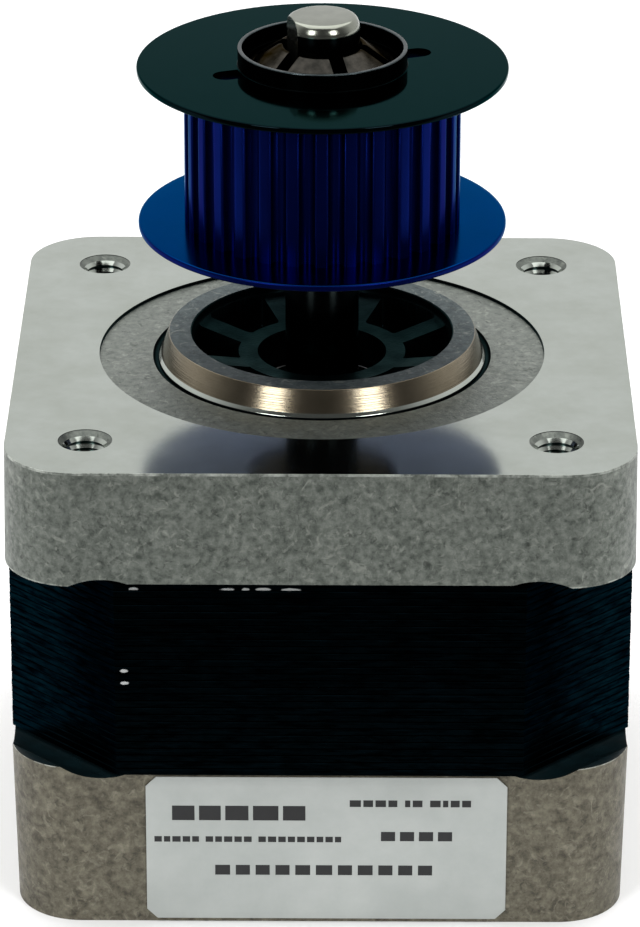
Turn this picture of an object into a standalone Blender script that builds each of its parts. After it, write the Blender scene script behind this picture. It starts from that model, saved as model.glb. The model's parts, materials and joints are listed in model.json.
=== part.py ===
"""42 mm stepping motor with a 30-tooth timing belt pulley pressed on its shaft.

The motor stands on its rear cap: the origin is at the centre of the underside, +Z is the shaft
axis and the rating label faces -Y. Lengths below are in millimetres and are turned to metres
where meshes are made.
"""
import math

import bmesh
import bpy
from mathutils import Matrix, Vector

MM = 0.001

# Driving dimensions of the motor -----------------------------------------------------------
CAP_HALF = 20.9             # half the width of the front cap where it meets the stack
FACE_HALF = 20.8            # and at the mounting face, because both caps are drafted
CAP_CORNER = 4.75           # radius of its corners
CAP_CHAMFER = 0.12          # broken edge all round
REAR_TOP_HALF = 20.7
REAR_BASE_HALF = 20.45
REAR_CORNER = 4.5
Z_REAR_TOP = 11.2           # rear cap meets the stack
Z_FRONT_BASE = 25.3         # front cap meets the stack
Z_FACE = 33.2               # mounting face
FRONT_LIP = 0.2             # cap corners reach past the ends of the stack
REAR_LIP = 0.45
RELIEF_OFFSET = 0.6         # middle of the relief grooves, outside the stack's cut corners
RELIEF_HALF = 1.2           # half the width of a relief groove, and its depth
RELIEF_DEPTH = 0.3
STACK_HALF = 20.85
STACK_CHAMFER = 7.3         # legs of the cut corners of the laminations
JOINT_GAP = 0.1             # between the stack and each cap
FIT_GAP = 0.15              # between pressed or seated pieces
AIR_GAP = 0.3               # between rotor and stator teeth
SCREW_AT = 15.5             # half of the 31 mm hole square
PILOT_R = 11.0              # 22 mm register with a long lead-in cone
PILOT_TOP_R = 10.45
PILOT_HEIGHT = 1.5
RECESS_R = 15.2
CAVITY_R = 18.3             # room for the coil ends in both caps
BOSS_R = 10.1               # bearing housings
Z_CAVITY_ROOF = 29.4
Z_CAVITY_FLOOR = 2.5

# Shaft, bearings (5 x 16 x 5 mm) and rotor --------------------------------------------------
SHAFT_R = 2.5
Z_SHAFT_END = 2.0
Z_SHAFT_TIP = 57.3
FLAT_DEPTH = 0.4
FLAT_AZIMUTH = 196.0
BEARING_R = 8.0
BEARING_WIDTH = 5.0
Z_FRONT_BEARING = 28.25     # centre of each bearing
Z_REAR_BEARING = 8.05
BALL_R = 1.39
BALL_PITCH_R = 5.25
BALL_COUNT = 7
ROTOR_TEETH = 50
ROTOR_R = 11.2
ROTOR_TOOTH = 0.6
MAGNET_R = 9.5
POLES = 8
POLE_HALF = 2.1
POLE_TEETH = 6
SLOT_R = 17.2

# Pulley: 30 teeth at 2 mm pitch for a 10 mm belt ---------------------------------------------
TOOTH_COUNT = 30
DRUM_R = 9.3
TOOTH_DEPTH = 0.75
LOWER_FLANGE_R = 12.42
TOP_FLANGE_R = 12.45
Z_PULLEY = 42.5
LOWER_FLANGE_T = 0.45
Z_DRUM_TOP = 53.35
Z_TOP_FLANGE = 53.5
TOP_FLANGE_T = 0.4
COLLAR_R = 5.68
COLLAR_BORE_R = 5.4
Z_COLLAR = 55.15
FLANGE_BORE_R = 5.08        # under a ledge inside the collar
Z_COLLAR_LEDGE = 54.15
HUB_R = 4.9
Z_HUB_LEDGE = 54.0
PETALS = 6
SLIT_WIDTH = 1.0
SLOT_AZIMUTH = 20.0         # locking slots in the top flange, here and opposite

# Stands an XY outline up in the YZ plane, its thickness along X
UPRIGHT = Matrix(((0, 0, 1), (1, 0, 0), (0, 1, 0))).to_4x4()

FINE = 48                   # sides of the large round forms
COARSE = 24                 # sides of the bearings and other inner forms


def clear_scene():
    """Remove every object, so that the script can be run again in an open file."""
    for obj in list(bpy.data.objects):
        bpy.data.objects.remove(obj, do_unlink=True)


clear_scene()
PARTS = bpy.data.collections.new("timing_pulley_motor")
CUTTERS = bpy.data.collections.new("cutters")
bpy.context.scene.collection.children.link(PARTS)
bpy.context.scene.collection.children.link(CUTTERS)


# Tools ---------------------------------------------------------------------------------------
def finish_material(name, colour, metallic, roughness):
    """Give one Principled material in linear colour."""
    material = bpy.data.materials.new(name)
    material.use_nodes = True
    shader = material.node_tree.nodes["Principled BSDF"]
    shader.inputs["Base Color"].default_value = (*colour, 1.0)
    shader.inputs["Metallic"].default_value = metallic
    shader.inputs["Roughness"].default_value = roughness
    material.diffuse_color = (*colour, 1.0)
    return material


FINISHES = {
    "cast_aluminium": ((0.33, 0.33, 0.30), 1.0, 0.45),
    "rear_aluminium": ((0.27, 0.25, 0.23), 1.0, 0.5),
    "core_steel": ((0.02, 0.025, 0.03), 0.8, 0.4),
    "bearing_steel": ((0.5, 0.5, 0.5), 1.0, 0.2),
    "ground_steel": ((0.45, 0.43, 0.40), 1.0, 0.22),
    "copper_wire": ((0.55, 0.16, 0.05), 1.0, 0.35),
    "insulator": ((0.75, 0.73, 0.66), 0.0, 0.5),
    "magnet": ((0.08, 0.08, 0.09), 0.9, 0.5),
    "zinc_screw": ((0.42, 0.42, 0.42), 1.0, 0.3),
    "board": ((0.02, 0.18, 0.06), 0.0, 0.5),
    "header": ((0.8, 0.79, 0.74), 0.0, 0.4),
    "pin": ((0.6, 0.55, 0.4), 1.0, 0.25),
    "label": ((0.58, 0.6, 0.58), 0.2, 0.4),
    "blue_drum": ((0.004, 0.02, 0.2), 0.5, 0.3),
    "black_flange": ((0.006, 0.01, 0.011), 0.0, 0.25),
    "cage": ((0.6, 0.45, 0.2), 0.0, 0.5),
}


def empty(name, z=0.0):
    """Make an empty on the shaft axis that carries a group of pieces."""
    obj = bpy.data.objects.new(name, None)
    obj.location = (0.0, 0.0, z * MM)
    PARTS.objects.link(obj)
    return obj


def place(obj, parent, finish):
    """Put a finished piece in the model: its parent, its own material and smooth round sides."""
    obj.parent = parent
    obj.data.materials.clear()
    obj.data.materials.append(finish_material(obj.name, *FINISHES[finish]))
    if obj.type == "MESH":
        obj.data.shade_smooth()
        obj.data.set_sharp_from_angle(angle=math.radians(35))
    return obj


def as_cutter(obj):
    """Keep an object as a cutting tool, out of the parts."""
    for collection in list(obj.users_collection):
        collection.objects.unlink(obj)
    CUTTERS.objects.link(obj)
    obj.hide_render = True
    obj.display_type = "WIRE"
    return obj


def boolean(obj, tool, operation="DIFFERENCE"):
    """Cut an object with a tool, or join the tool to it."""
    as_cutter(tool)
    modifier = obj.modifiers.new(tool.name, "BOOLEAN")
    modifier.operation = operation
    modifier.solver = "EXACT"
    modifier.object = tool
    return obj


def baked(obj):
    """Turn a curve, or a mesh with modifiers, into a plain welded mesh at the same place."""
    bpy.context.view_layer.update()
    evaluated = obj.evaluated_get(bpy.context.evaluated_depsgraph_get())
    mesh = bpy.data.meshes.new_from_object(evaluated)
    work = bmesh.new()
    work.from_mesh(mesh)
    bmesh.ops.remove_doubles(work, verts=work.verts, dist=1e-7)
    work.to_mesh(mesh)
    work.free()
    name = obj.name
    matrix = obj.matrix_world.copy()
    bpy.data.objects.remove(obj, do_unlink=True)
    solid = bpy.data.objects.new(name, mesh)
    solid.matrix_world = matrix
    PARTS.objects.link(solid)
    return solid


def turned(name, profile, steps=FINE, z=0.0):
    """Turn a closed profile of (radius, height) about Z; it runs down its outer side first."""
    mesh = bpy.data.meshes.new(name)
    on_axis = profile[0][0] == 0.0
    edges = [(i, i + 1) for i in range(len(profile) - 1)]
    if not on_axis:
        edges.append((len(profile) - 1, 0))
    mesh.from_pydata([(r * MM, 0.0, h * MM) for r, h in profile], edges, [])
    obj = bpy.data.objects.new(name, mesh)
    obj.location.z = z * MM
    PARTS.objects.link(obj)
    screw = obj.modifiers.new("turned", "SCREW")
    screw.steps = steps
    screw.render_steps = steps
    screw.use_merge_vertices = True
    screw.merge_threshold = 1e-6
    screw.use_smooth_shade = True
    return obj


def ring(name, outer_r, inner_r, z_low, z_high, steps=COARSE):
    """Turn a plain ring with square edges."""
    profile = [(outer_r, z_high), (outer_r, z_low), (inner_r, z_low), (inner_r, z_high)]
    return turned(name, profile, steps)


def extruded(name, loops, z_low, z_high):
    """Extrude a flat outline between two heights; loops after the first are holes."""
    curve = bpy.data.curves.new(name, "CURVE")
    curve.dimensions = "2D"
    curve.fill_mode = "BOTH"
    curve.extrude = (z_high - z_low) / 2 * MM
    for loop in loops:
        spline = curve.splines.new("POLY")
        spline.points.add(len(loop) - 1)
        for point, (x, y) in zip(spline.points, loop):
            point.co = (x * MM, y * MM, 0.0, 1.0)
        spline.use_cyclic_u = True
    obj = bpy.data.objects.new(name, curve)
    obj.location.z = (z_low + z_high) / 2 * MM
    PARTS.objects.link(obj)
    return baked(obj)


def box(name, low, high):
    """Make a box from its lowest and highest corners."""
    mesh = bpy.data.meshes.new(name)
    work = bmesh.new()
    bmesh.ops.create_cube(work, size=1.0)
    size = [(b - a) * MM for a, b in zip(low, high)]
    bmesh.ops.scale(work, vec=size, verts=work.verts)
    work.to_mesh(mesh)
    work.free()
    obj = bpy.data.objects.new(name, mesh)
    obj.location = [(a + b) / 2 * MM for a, b in zip(low, high)]
    PARTS.objects.link(obj)
    return obj


def sphere(name, radius):
    """Make a ball."""
    mesh = bpy.data.meshes.new(name)
    work = bmesh.new()
    bmesh.ops.create_uvsphere(work, u_segments=8, v_segments=6, radius=radius * MM)
    work.to_mesh(mesh)
    work.free()
    obj = bpy.data.objects.new(name, mesh)
    PARTS.objects.link(obj)
    return obj


def chamfer(obj, width, segments=1, angle=60.0):
    """Break the sharp edges of an object."""
    bevel = obj.modifiers.new("chamfer", "BEVEL")
    bevel.width = width * MM
    bevel.segments = segments
    bevel.limit_method = "ANGLE"
    bevel.angle_limit = math.radians(angle)
    return obj


def polar(radius, degrees):
    """Give the point at a radius and azimuth."""
    angle = math.radians(degrees)
    return radius * math.cos(angle), radius * math.sin(angle)


def arc(centre, radius, start, end, count):
    """Give points along an arc, both ends included."""
    points = []
    for i in range(count + 1):
        x, y = polar(radius, start + (end - start) * i / count)
        points.append((centre[0] + x, centre[1] + y))
    return points


def circle(radius, count=COARSE, centre=(0.0, 0.0)):
    """Give the points of a full circle."""
    return arc(centre, radius, 0.0, 360.0, count)[:-1]


def rounded_square(half, corner, count=8):
    """Give a square outline with round corners."""
    points = []
    for quarter in range(4):
        start = 90.0 * quarter
        x, y = polar((half - corner) * math.sqrt(2.0), start + 45.0)
        points += arc((x, y), corner, start, start + 90.0, count)
    return points


def octagon(half, leg):
    """Give a square outline whose corners are cut off by legs of a given length."""
    points = []
    for quarter in range(4):
        for x, y in ((half, half - leg), (half - leg, half)):
            turn = Matrix.Rotation(math.radians(90.0 * quarter), 2)
            points.append(tuple(turn @ Vector((x, y))))
    return points


def turn_points(points, degrees):
    """Turn outline points about the origin."""
    turn = Matrix.Rotation(math.radians(degrees), 2)
    return [tuple(turn @ Vector(point)) for point in points]


def hole_square():
    """Give the four screw positions."""
    return [(SCREW_AT * sx, SCREW_AT * sy) for sx in (-1, 1) for sy in (-1, 1)]


# Stationary pieces -----------------------------------------------------------------------------
def draft(obj, upper, ratio):
    """Narrow the upper or the lower end of a block."""
    for vertex in obj.data.vertices:
        if (vertex.co.z > 0.0) == upper:
            vertex.co.xy *= ratio


def seat_stack(cap, z_seat, upward):
    """Cut a cap's seat for the stack: the corners stay as lips, behind shallow relief grooves."""
    far = z_seat + 5.0 * upward
    reach = CAP_HALF + 5.0
    leg = 2 * reach - (2 * STACK_HALF - STACK_CHAMFER) - AIR_GAP
    clear = extruded(f"{cap.name}_seat", [octagon(reach, leg)], min(z_seat, far), max(z_seat, far))
    boolean(cap, clear)

    radius = (RELIEF_HALF ** 2 + RELIEF_DEPTH ** 2) / (2 * RELIEF_DEPTH)
    across = (2 * STACK_HALF - STACK_CHAMFER) / math.sqrt(2.0) + RELIEF_OFFSET
    height = z_seat + upward * (radius - RELIEF_DEPTH)
    for k in range(4):
        name = f"{cap.name}_relief_{k + 1}"
        groove = extruded(name, [circle(radius, 40, (across, height))], -12.0, 12.0)
        turn = Matrix.Rotation(math.radians(45.0 + 90.0 * k), 4, "Z")
        groove.matrix_world = turn @ Matrix.Rotation(math.radians(90.0), 4, "X") @ groove.matrix_world
        boolean(cap, groove)


def make_front_cap(parent):
    """Cast front cap: mounting face, pilot, spoked bearing housing and four tapped holes."""
    outline = rounded_square(CAP_HALF, CAP_CORNER)
    cap = extruded("front_cap", [outline], Z_FRONT_BASE - FRONT_LIP, Z_FACE)
    draft(cap, True, FACE_HALF / CAP_HALF)
    chamfer(cap, CAP_CHAMFER)
    seat_stack(cap, Z_FRONT_BASE, -1)

    recess_floor = Z_FACE - 0.25
    groove_r = PILOT_R + 0.7
    groove_floor = Z_FACE - 0.5
    recess = [(0.0, Z_FACE + 3.0), (RECESS_R, Z_FACE + 3.0), (RECESS_R, recess_floor),
              (groove_r, recess_floor), (groove_r, groove_floor), (0.0, groove_floor)]
    boolean(cap, turned("recess", recess))

    top = Z_FACE + PILOT_HEIGHT
    pilot = [(0.0, top), (PILOT_TOP_R, top), (PILOT_R, Z_FACE + 0.1), (PILOT_R, Z_FACE - 2.0),
             (0.0, Z_FACE - 2.0)]
    boolean(cap, turned("pilot", pilot), "UNION")

    housing_base = Z_FRONT_BASE + 0.3
    under = Z_FRONT_BASE - 5.0
    cavity = [(0.0, housing_base), (BOSS_R, housing_base), (BOSS_R, Z_CAVITY_ROOF),
              (CAVITY_R, Z_CAVITY_ROOF), (CAVITY_R, under), (0.0, under)]
    boolean(cap, turned("front_cavity", cavity))
    seat_r = BEARING_R + FIT_GAP
    seat_top = Z_FRONT_BEARING + BEARING_WIDTH / 2 + FIT_GAP
    inner_r = 8.9
    hub_hole_r = 4.4
    hub_ring_r = 5.7
    rib_rise = 0.7
    bore = [(0.0, top + 3.0), (inner_r, top + 3.0), (inner_r, Z_FACE + rib_rise),
            (hub_ring_r, Z_FACE), (hub_hole_r, Z_FACE), (hub_hole_r, seat_top),
            (seat_r, seat_top), (seat_r, under), (0.0, under)]
    boolean(cap, turned("front_bore", bore))

    pocket_outer = inner_r - 0.05
    pocket_floor = seat_top + 0.7
    rib_half = 0.85
    ribs = 8
    pitch = 360.0 / ribs
    outer_trim = math.degrees(math.asin(rib_half / pocket_outer))
    inner_trim = math.degrees(math.asin(rib_half / hub_ring_r))
    outline = arc((0, 0), pocket_outer, outer_trim, pitch - outer_trim, 4)
    outline += arc((0, 0), hub_ring_r, pitch - inner_trim, inner_trim, 2)
    for k in range(ribs):
        points = turn_points(outline, pitch * (k + 0.5))
        boolean(cap, extruded(f"pocket_{k + 1}", [points], pocket_floor, top + 2.0))

    thread_r = 1.5
    mouth_r = 1.8
    tapped = [(0.0, Z_FACE + 1.0), (mouth_r, Z_FACE + 1.0), (mouth_r, Z_FACE - 0.05),
              (thread_r, Z_FACE - 0.35), (thread_r, under), (0.0, under)]
    for k, (x, y) in enumerate(hole_square()):
        tool = turned(f"tapped_hole_{k + 1}", tapped, 14)
        tool.location.x = x * MM
        tool.location.y = y * MM
        boolean(cap, tool)
    return place(cap, parent, "cast_aluminium")


def make_rear_cap(parent):
    """Cast rear cap: drafted sides, screw counterbores, bearing seat and connector window."""
    outline = rounded_square(REAR_TOP_HALF, REAR_CORNER)
    cap = extruded("rear_cap", [outline], 0.0, Z_REAR_TOP + REAR_LIP)
    draft(cap, False, REAR_BASE_HALF / REAR_TOP_HALF)
    chamfer(cap, CAP_CHAMFER)
    seat_stack(cap, Z_REAR_TOP, 1)

    over = Z_REAR_TOP + 5.0
    boss_top = Z_REAR_TOP - 0.5
    cavity = [(0.0, over), (CAVITY_R, over), (CAVITY_R, Z_CAVITY_FLOOR),
              (BOSS_R, Z_CAVITY_FLOOR), (BOSS_R, boss_top), (0.0, boss_top)]
    boolean(cap, turned("rear_cavity", cavity))
    seat_r = BEARING_R + FIT_GAP
    seat_floor = 4.0
    hole_r = 3.2
    bore = [(0.0, over), (seat_r, over), (seat_r, seat_floor), (hole_r, seat_floor),
            (hole_r, -1.0), (0.0, -1.0)]
    boolean(cap, turned("rear_bore", bore, COARSE))

    head_r = 3.2
    shank_r = 1.65
    counterbore = [(0.0, over), (shank_r, over), (shank_r, 2.6), (head_r, 2.6), (head_r, -1.0),
                   (0.0, -1.0)]
    for k, (x, y) in enumerate(hole_square()):
        tool = turned(f"counterbore_{k + 1}", counterbore, 16)
        tool.location.x = x * MM
        tool.location.y = y * MM
        boolean(cap, tool)
    boolean(cap, box("connector_window", (-7.95, 15.0, 2.55), (7.95, 25.0, 7.1)))
    return place(cap, parent, "rear_aluminium")


def stator_bore(toothed):
    """Give the outline of the poles and slots seen from the shaft, going round once."""
    points = []
    pitch = 360.0 / POLES
    tooth_pitch = 360.0 / ROTOR_TEETH
    tip_r = ROTOR_R + AIR_GAP
    root_r = tip_r + 0.5
    shoe_r = root_r + 0.7
    shoe_half = tooth_pitch * (POLE_TEETH - 1) / 2 + tooth_pitch * 0.22
    flank_in = math.degrees(math.asin(POLE_HALF / (shoe_r + 0.3)))
    flank_out = math.degrees(math.asin(POLE_HALF / SLOT_R))
    for k in range(POLES):
        middle = pitch * k
        points += [polar(SLOT_R, middle - flank_out), polar(shoe_r + 0.3, middle - flank_in),
                   polar(root_r + 0.3, middle - shoe_half)]
        if toothed:
            for t in range(POLE_TEETH):
                at = middle + tooth_pitch * (t - (POLE_TEETH - 1) / 2)
                half = tooth_pitch * 0.22
                points += [polar(tip_r, at - half), polar(tip_r, at + half)]
                if t < POLE_TEETH - 1:
                    points += [polar(root_r, at + half), polar(root_r, at + tooth_pitch - half)]
        else:
            points += arc((0, 0), root_r, middle - shoe_half, middle + shoe_half, 4)
        points += [polar(root_r + 0.3, middle + shoe_half), polar(shoe_r + 0.3, middle + flank_in),
                   polar(SLOT_R, middle + flank_out)]
        points += arc((0, 0), SLOT_R, middle + flank_out, middle + pitch - flank_out, 4)[1:-1]
    return points


def make_stator(parent):
    """Laminated stator: octagonal stack with eight toothed poles and four screw holes."""
    loops = [octagon(STACK_HALF, STACK_CHAMFER), stator_bore(True)]
    loops += [circle(1.65, 12, centre) for centre in hole_square()]
    core = extruded("stator_core", loops, Z_REAR_TOP + JOINT_GAP, Z_FRONT_BASE - JOINT_GAP)
    place(core, parent, "core_steel")

    plate = 0.8
    wall_top = 3.0
    wall_r = 17.9
    for name, base, sign in (("front_insulator", Z_FRONT_BASE, 1), ("rear_insulator", Z_REAR_TOP, -1)):
        far = base + sign * plate
        frame = extruded(name, [circle(wall_r), stator_bore(False)],
                         min(base, far), max(base, far))
        low, high = sorted((base + sign * 0.2, base + sign * wall_top))
        boolean(frame, ring(name + "_wall", wall_r - 0.02, SLOT_R - 0.1, low, high), "UNION")
        place(frame, parent, "insulator")


def make_coils(parent):
    """Eight coils, each a rounded loop round one pole and over both insulators."""
    middle = (Z_REAR_TOP + Z_FRONT_BASE) / 2
    half_stack = (Z_FRONT_BASE - Z_REAR_TOP) / 2
    inner = (POLE_HALF + 0.3, half_stack + 0.8 + FIT_GAP)
    outer = (POLE_HALF + 2.3, inner[1] + 2.15)
    inside_r, outside_r = 13.2, 16.3
    for k in range(POLES):
        loops = []
        for (half_w, half_h), corner in ((outer, 1.5), (inner, 0.4)):
            loop = []
            for quarter, (sx, sy) in enumerate(((1, 1), (-1, 1), (-1, -1), (1, -1))):
                centre = (sx * (half_w - corner), sy * (half_h - corner))
                loop += arc(centre, corner, 90.0 * quarter, 90.0 * quarter + 90.0, 3)
            loops.append(loop)
        coil = extruded(f"coil_{k + 1}", loops, inside_r, outside_r)
        azimuth = math.radians(360.0 / POLES * k)
        centre = Matrix.Translation((0.0, 0.0, middle * MM))
        coil.matrix_world = centre @ Matrix.Rotation(azimuth, 4, "Z") @ UPRIGHT @ coil.matrix_world
        place(coil, parent, "copper_wire")


def make_screws(parent):
    """Four long cross-head screws that clamp the caps and the stack together."""
    z_head = 0.45
    head_r = 2.75
    shank_r = 1.3
    profile = [(0.0, 28.3), (shank_r - 0.3, 28.3), (shank_r, 28.0), (shank_r, 2.4), (head_r, 2.4),
               (head_r, 1.1), (head_r - 0.6, z_head), (0.0, z_head)]
    for k, (x, y) in enumerate(hole_square()):
        screw = turned(f"through_screw_{k + 1}", profile, 16)
        screw.location.x = x * MM
        screw.location.y = y * MM
        boolean(screw, box(f"cross_{k + 1}_a", (x - 1.5, y - 0.3, -1.0), (x + 1.5, y + 0.3, 1.5)))
        boolean(screw, box(f"cross_{k + 1}_b", (x - 0.3, y - 1.5, -1.0), (x + 0.3, y + 1.5, 1.5)))
        place(screw, parent, "zinc_screw")


def make_connector(parent):
    """Six-way header in the rear cap's window, with its pins and the board they end on."""
    header = box("connector_header", (-7.7, 13.6, 2.7), (7.7, 20.2, 6.9))
    boolean(header, box("socket", (-7.0, 15.2, 3.3), (7.0, 25.0, 6.3)))
    pitch = 2.0
    count = 6
    half = 0.25
    hole = 0.4
    z_pin = 4.8
    outline = [(19.0, z_pin - half), (19.0, z_pin + half), (13.3, z_pin + half), (13.3, 7.0),
               (12.8, 7.0), (12.8, z_pin - half)]
    for k in range(count):
        x = (k - (count - 1) / 2) * pitch
        hole_low = (x - hole, 13.0, z_pin - hole)
        boolean(header, box(f"pin_hole_{k + 1}", hole_low, (x + hole, 16.0, z_pin + hole)))
        pin = extruded(f"connector_pin_{k + 1}", [outline], x - half, x + half)
        pin.matrix_world = UPRIGHT @ pin.matrix_world
        place(pin, parent, "pin")
    place(header, parent, "header")
    outline = arc((0, 0), 17.4, 20.0, 160.0, 16) + arc((0, 0), 10.6, 160.0, 20.0, 16)
    place(extruded("winding_board", [outline], 7.15, 7.95), parent, "board")


def make_label(parent):
    """Rating label: a thin sheet with cut corners on the front of the rear cap."""
    left, right, low, high, cut = -11.6, 12.5, 0.3, 11.1, 0.7
    outline = [(right, low + cut), (right, high - cut), (right - cut, high), (left + cut, high),
               (left, high - cut), (left, low + cut), (left + cut, low), (right - cut, low)]
    label = extruded("rating_label", [outline], 0.0, 0.1)
    lean = math.atan((REAR_TOP_HALF - REAR_BASE_HALF) / Z_REAR_TOP)
    stand = Matrix.Rotation(math.radians(90.0) + lean, 4, "X")
    hang = Matrix.Translation((0.0, -(REAR_BASE_HALF + 0.05) * MM, 0.0))
    label.matrix_world = hang @ stand @ label.matrix_world
    place(label, parent, "label")


# Bearings ----------------------------------------------------------------------------------------
def make_bearing(side, z, motor, rotor):
    """Deep-groove bearing: rings, shields, balls and a crown cage that travels with the balls."""
    half = BEARING_WIDTH / 2
    groove_r = BALL_R + 0.12
    inner_land = 4.05
    outer_land = 2 * BALL_PITCH_R - inner_land
    reach = math.degrees(math.asin((BALL_PITCH_R - inner_land) / groove_r))
    inner_bore = SHAFT_R + FIT_GAP
    inner = [(inner_land, half)]
    outer = [(BEARING_R, half), (BEARING_R, -half), (outer_land, -half)]
    span = 90.0 - reach
    for i in range(4):
        x, y = polar(groove_r, span - 2 * span * i / 3)
        inner.append((BALL_PITCH_R - x, y))
        outer.append((BALL_PITCH_R + x, -y))
    inner += [(inner_land, -half), (inner_bore, -half), (inner_bore, half)]
    outer.append((outer_land, half))
    place(turned(f"{side}_bearing_inner_ring", inner, COARSE, z), rotor, "bearing_steel")
    place(turned(f"{side}_bearing_outer_ring", outer, COARSE, z), motor, "bearing_steel")

    shield = ring(f"{side}_bearing_shield", outer_land - 0.1, inner_land + 0.25, half - 0.4,
                  half - 0.15, COARSE)
    shield.location.z = z * MM
    place(shield, motor, "bearing_steel")

    axis = empty(f"{side}_ball_axis", z)
    for k in range(BALL_COUNT):
        x, y = polar(BALL_PITCH_R, 360.0 / BALL_COUNT * k)
        ball = sphere(f"{side}_bearing_ball_{k + 1}", BALL_R)
        ball.location = (x * MM, y * MM, 0.0)
        place(ball, axis, "bearing_steel")

    base = -BALL_R - 0.15
    cage = ring(f"{side}_bearing_cage", 5.75, 4.75, base - 0.4, base, COARSE)
    for k in range(BALL_COUNT):
        finger = box(f"{side}_finger_{k + 1}", (4.8, -0.55, base - 0.2), (5.7, 0.55, 0.5))
        turn = Matrix.Rotation(math.radians(360.0 / BALL_COUNT * (k + 0.5)), 4, "Z")
        finger.matrix_world = turn @ finger.matrix_basis
        boolean(cage, finger, "UNION")
    cage = baked(cage)
    cage.matrix_world = Matrix.Identity(4)
    place(cage, axis, "cage")


def make_wave_washer(parent):
    """Wavy spring washer under the rear bearing, three waves round."""
    washer = baked(ring("wave_washer", 7.8, 5.6, -0.12, 0.12))
    swing = 0.3
    for vertex in washer.data.vertices:
        vertex.co.z += swing * MM * math.cos(3 * math.atan2(vertex.co.y, vertex.co.x))
    washer.location.z = 4.75 * MM
    place(washer, parent, "bearing_steel")


# Rotor and pulley ------------------------------------------------------------------------------
def toothed_circle(count, tip_r, depth, offset=0.0):
    """Give an outline with straight-sided teeth."""
    pitch = 360.0 / count
    points = []
    for k in range(count):
        at = pitch * k + offset
        points += [polar(tip_r - depth, at - 0.28 * pitch), polar(tip_r, at - 0.22 * pitch),
                   polar(tip_r, at + 0.22 * pitch), polar(tip_r - depth, at + 0.28 * pitch)]
    return points


def make_rotor(parent):
    """Shaft with its drive flat, two toothed rotor cups, the magnet between them and spacers."""
    tip = 0.6
    profile = [(0.0, Z_SHAFT_TIP), (SHAFT_R - 0.45, Z_SHAFT_TIP), (SHAFT_R - 0.15, Z_SHAFT_TIP - 0.2),
               (SHAFT_R, Z_SHAFT_TIP - tip), (SHAFT_R, Z_SHAFT_END + 0.4),
               (SHAFT_R - 0.4, Z_SHAFT_END), (0.0, Z_SHAFT_END)]
    shaft = turned("shaft", profile, COARSE)
    flat = box("drive_flat", (SHAFT_R - FLAT_DEPTH, -4.0, Z_PULLEY + 0.5), (6.0, 4.0, Z_SHAFT_TIP + 2.0))
    flat.matrix_world = Matrix.Rotation(math.radians(FLAT_AZIMUTH), 4, "Z") @ flat.matrix_basis
    boolean(shaft, flat)
    place(shaft, parent, "ground_steel")

    bore = circle(SHAFT_R + FIT_GAP)
    front_cup = extruded("front_rotor_cup", [toothed_circle(ROTOR_TEETH, ROTOR_R, ROTOR_TOOTH), bore],
                         18.95, 25.1)
    half_pitch = 180.0 / ROTOR_TEETH
    rear_teeth = toothed_circle(ROTOR_TEETH, ROTOR_R, ROTOR_TOOTH, half_pitch)
    rear_cup = extruded("rear_rotor_cup", [rear_teeth, bore], 11.6, 17.55)
    place(front_cup, parent, "core_steel")
    place(rear_cup, parent, "core_steel")
    inner_r = SHAFT_R + FIT_GAP
    place(ring("rotor_magnet", MAGNET_R, inner_r, 17.7, 18.8), parent, "magnet")
    place(ring("front_spacer", 3.7, inner_r, 25.22, 25.63), parent, "bearing_steel")
    place(ring("rear_spacer", 3.7, inner_r, 10.67, 11.48), parent, "bearing_steel")


def pulley_outline():
    """Give the toothed outline of the drum: flat lands and round-bottomed grooves."""
    pitch = 360.0 / TOOTH_COUNT
    groove_half = math.degrees(0.58 / DRUM_R)
    points = []
    for k in range(TOOTH_COUNT):
        at = pitch * k
        points.append(polar(DRUM_R, at - groove_half))
        for i in range(5):
            share = math.radians(180.0 * (i + 0.5) / 5)
            sweep = math.cos(share) * 0.52 / DRUM_R
            points.append(polar(DRUM_R - TOOTH_DEPTH * math.sin(share) ** 0.6, at - math.degrees(sweep)))
        points.append(polar(DRUM_R, at + groove_half))
    return points


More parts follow.
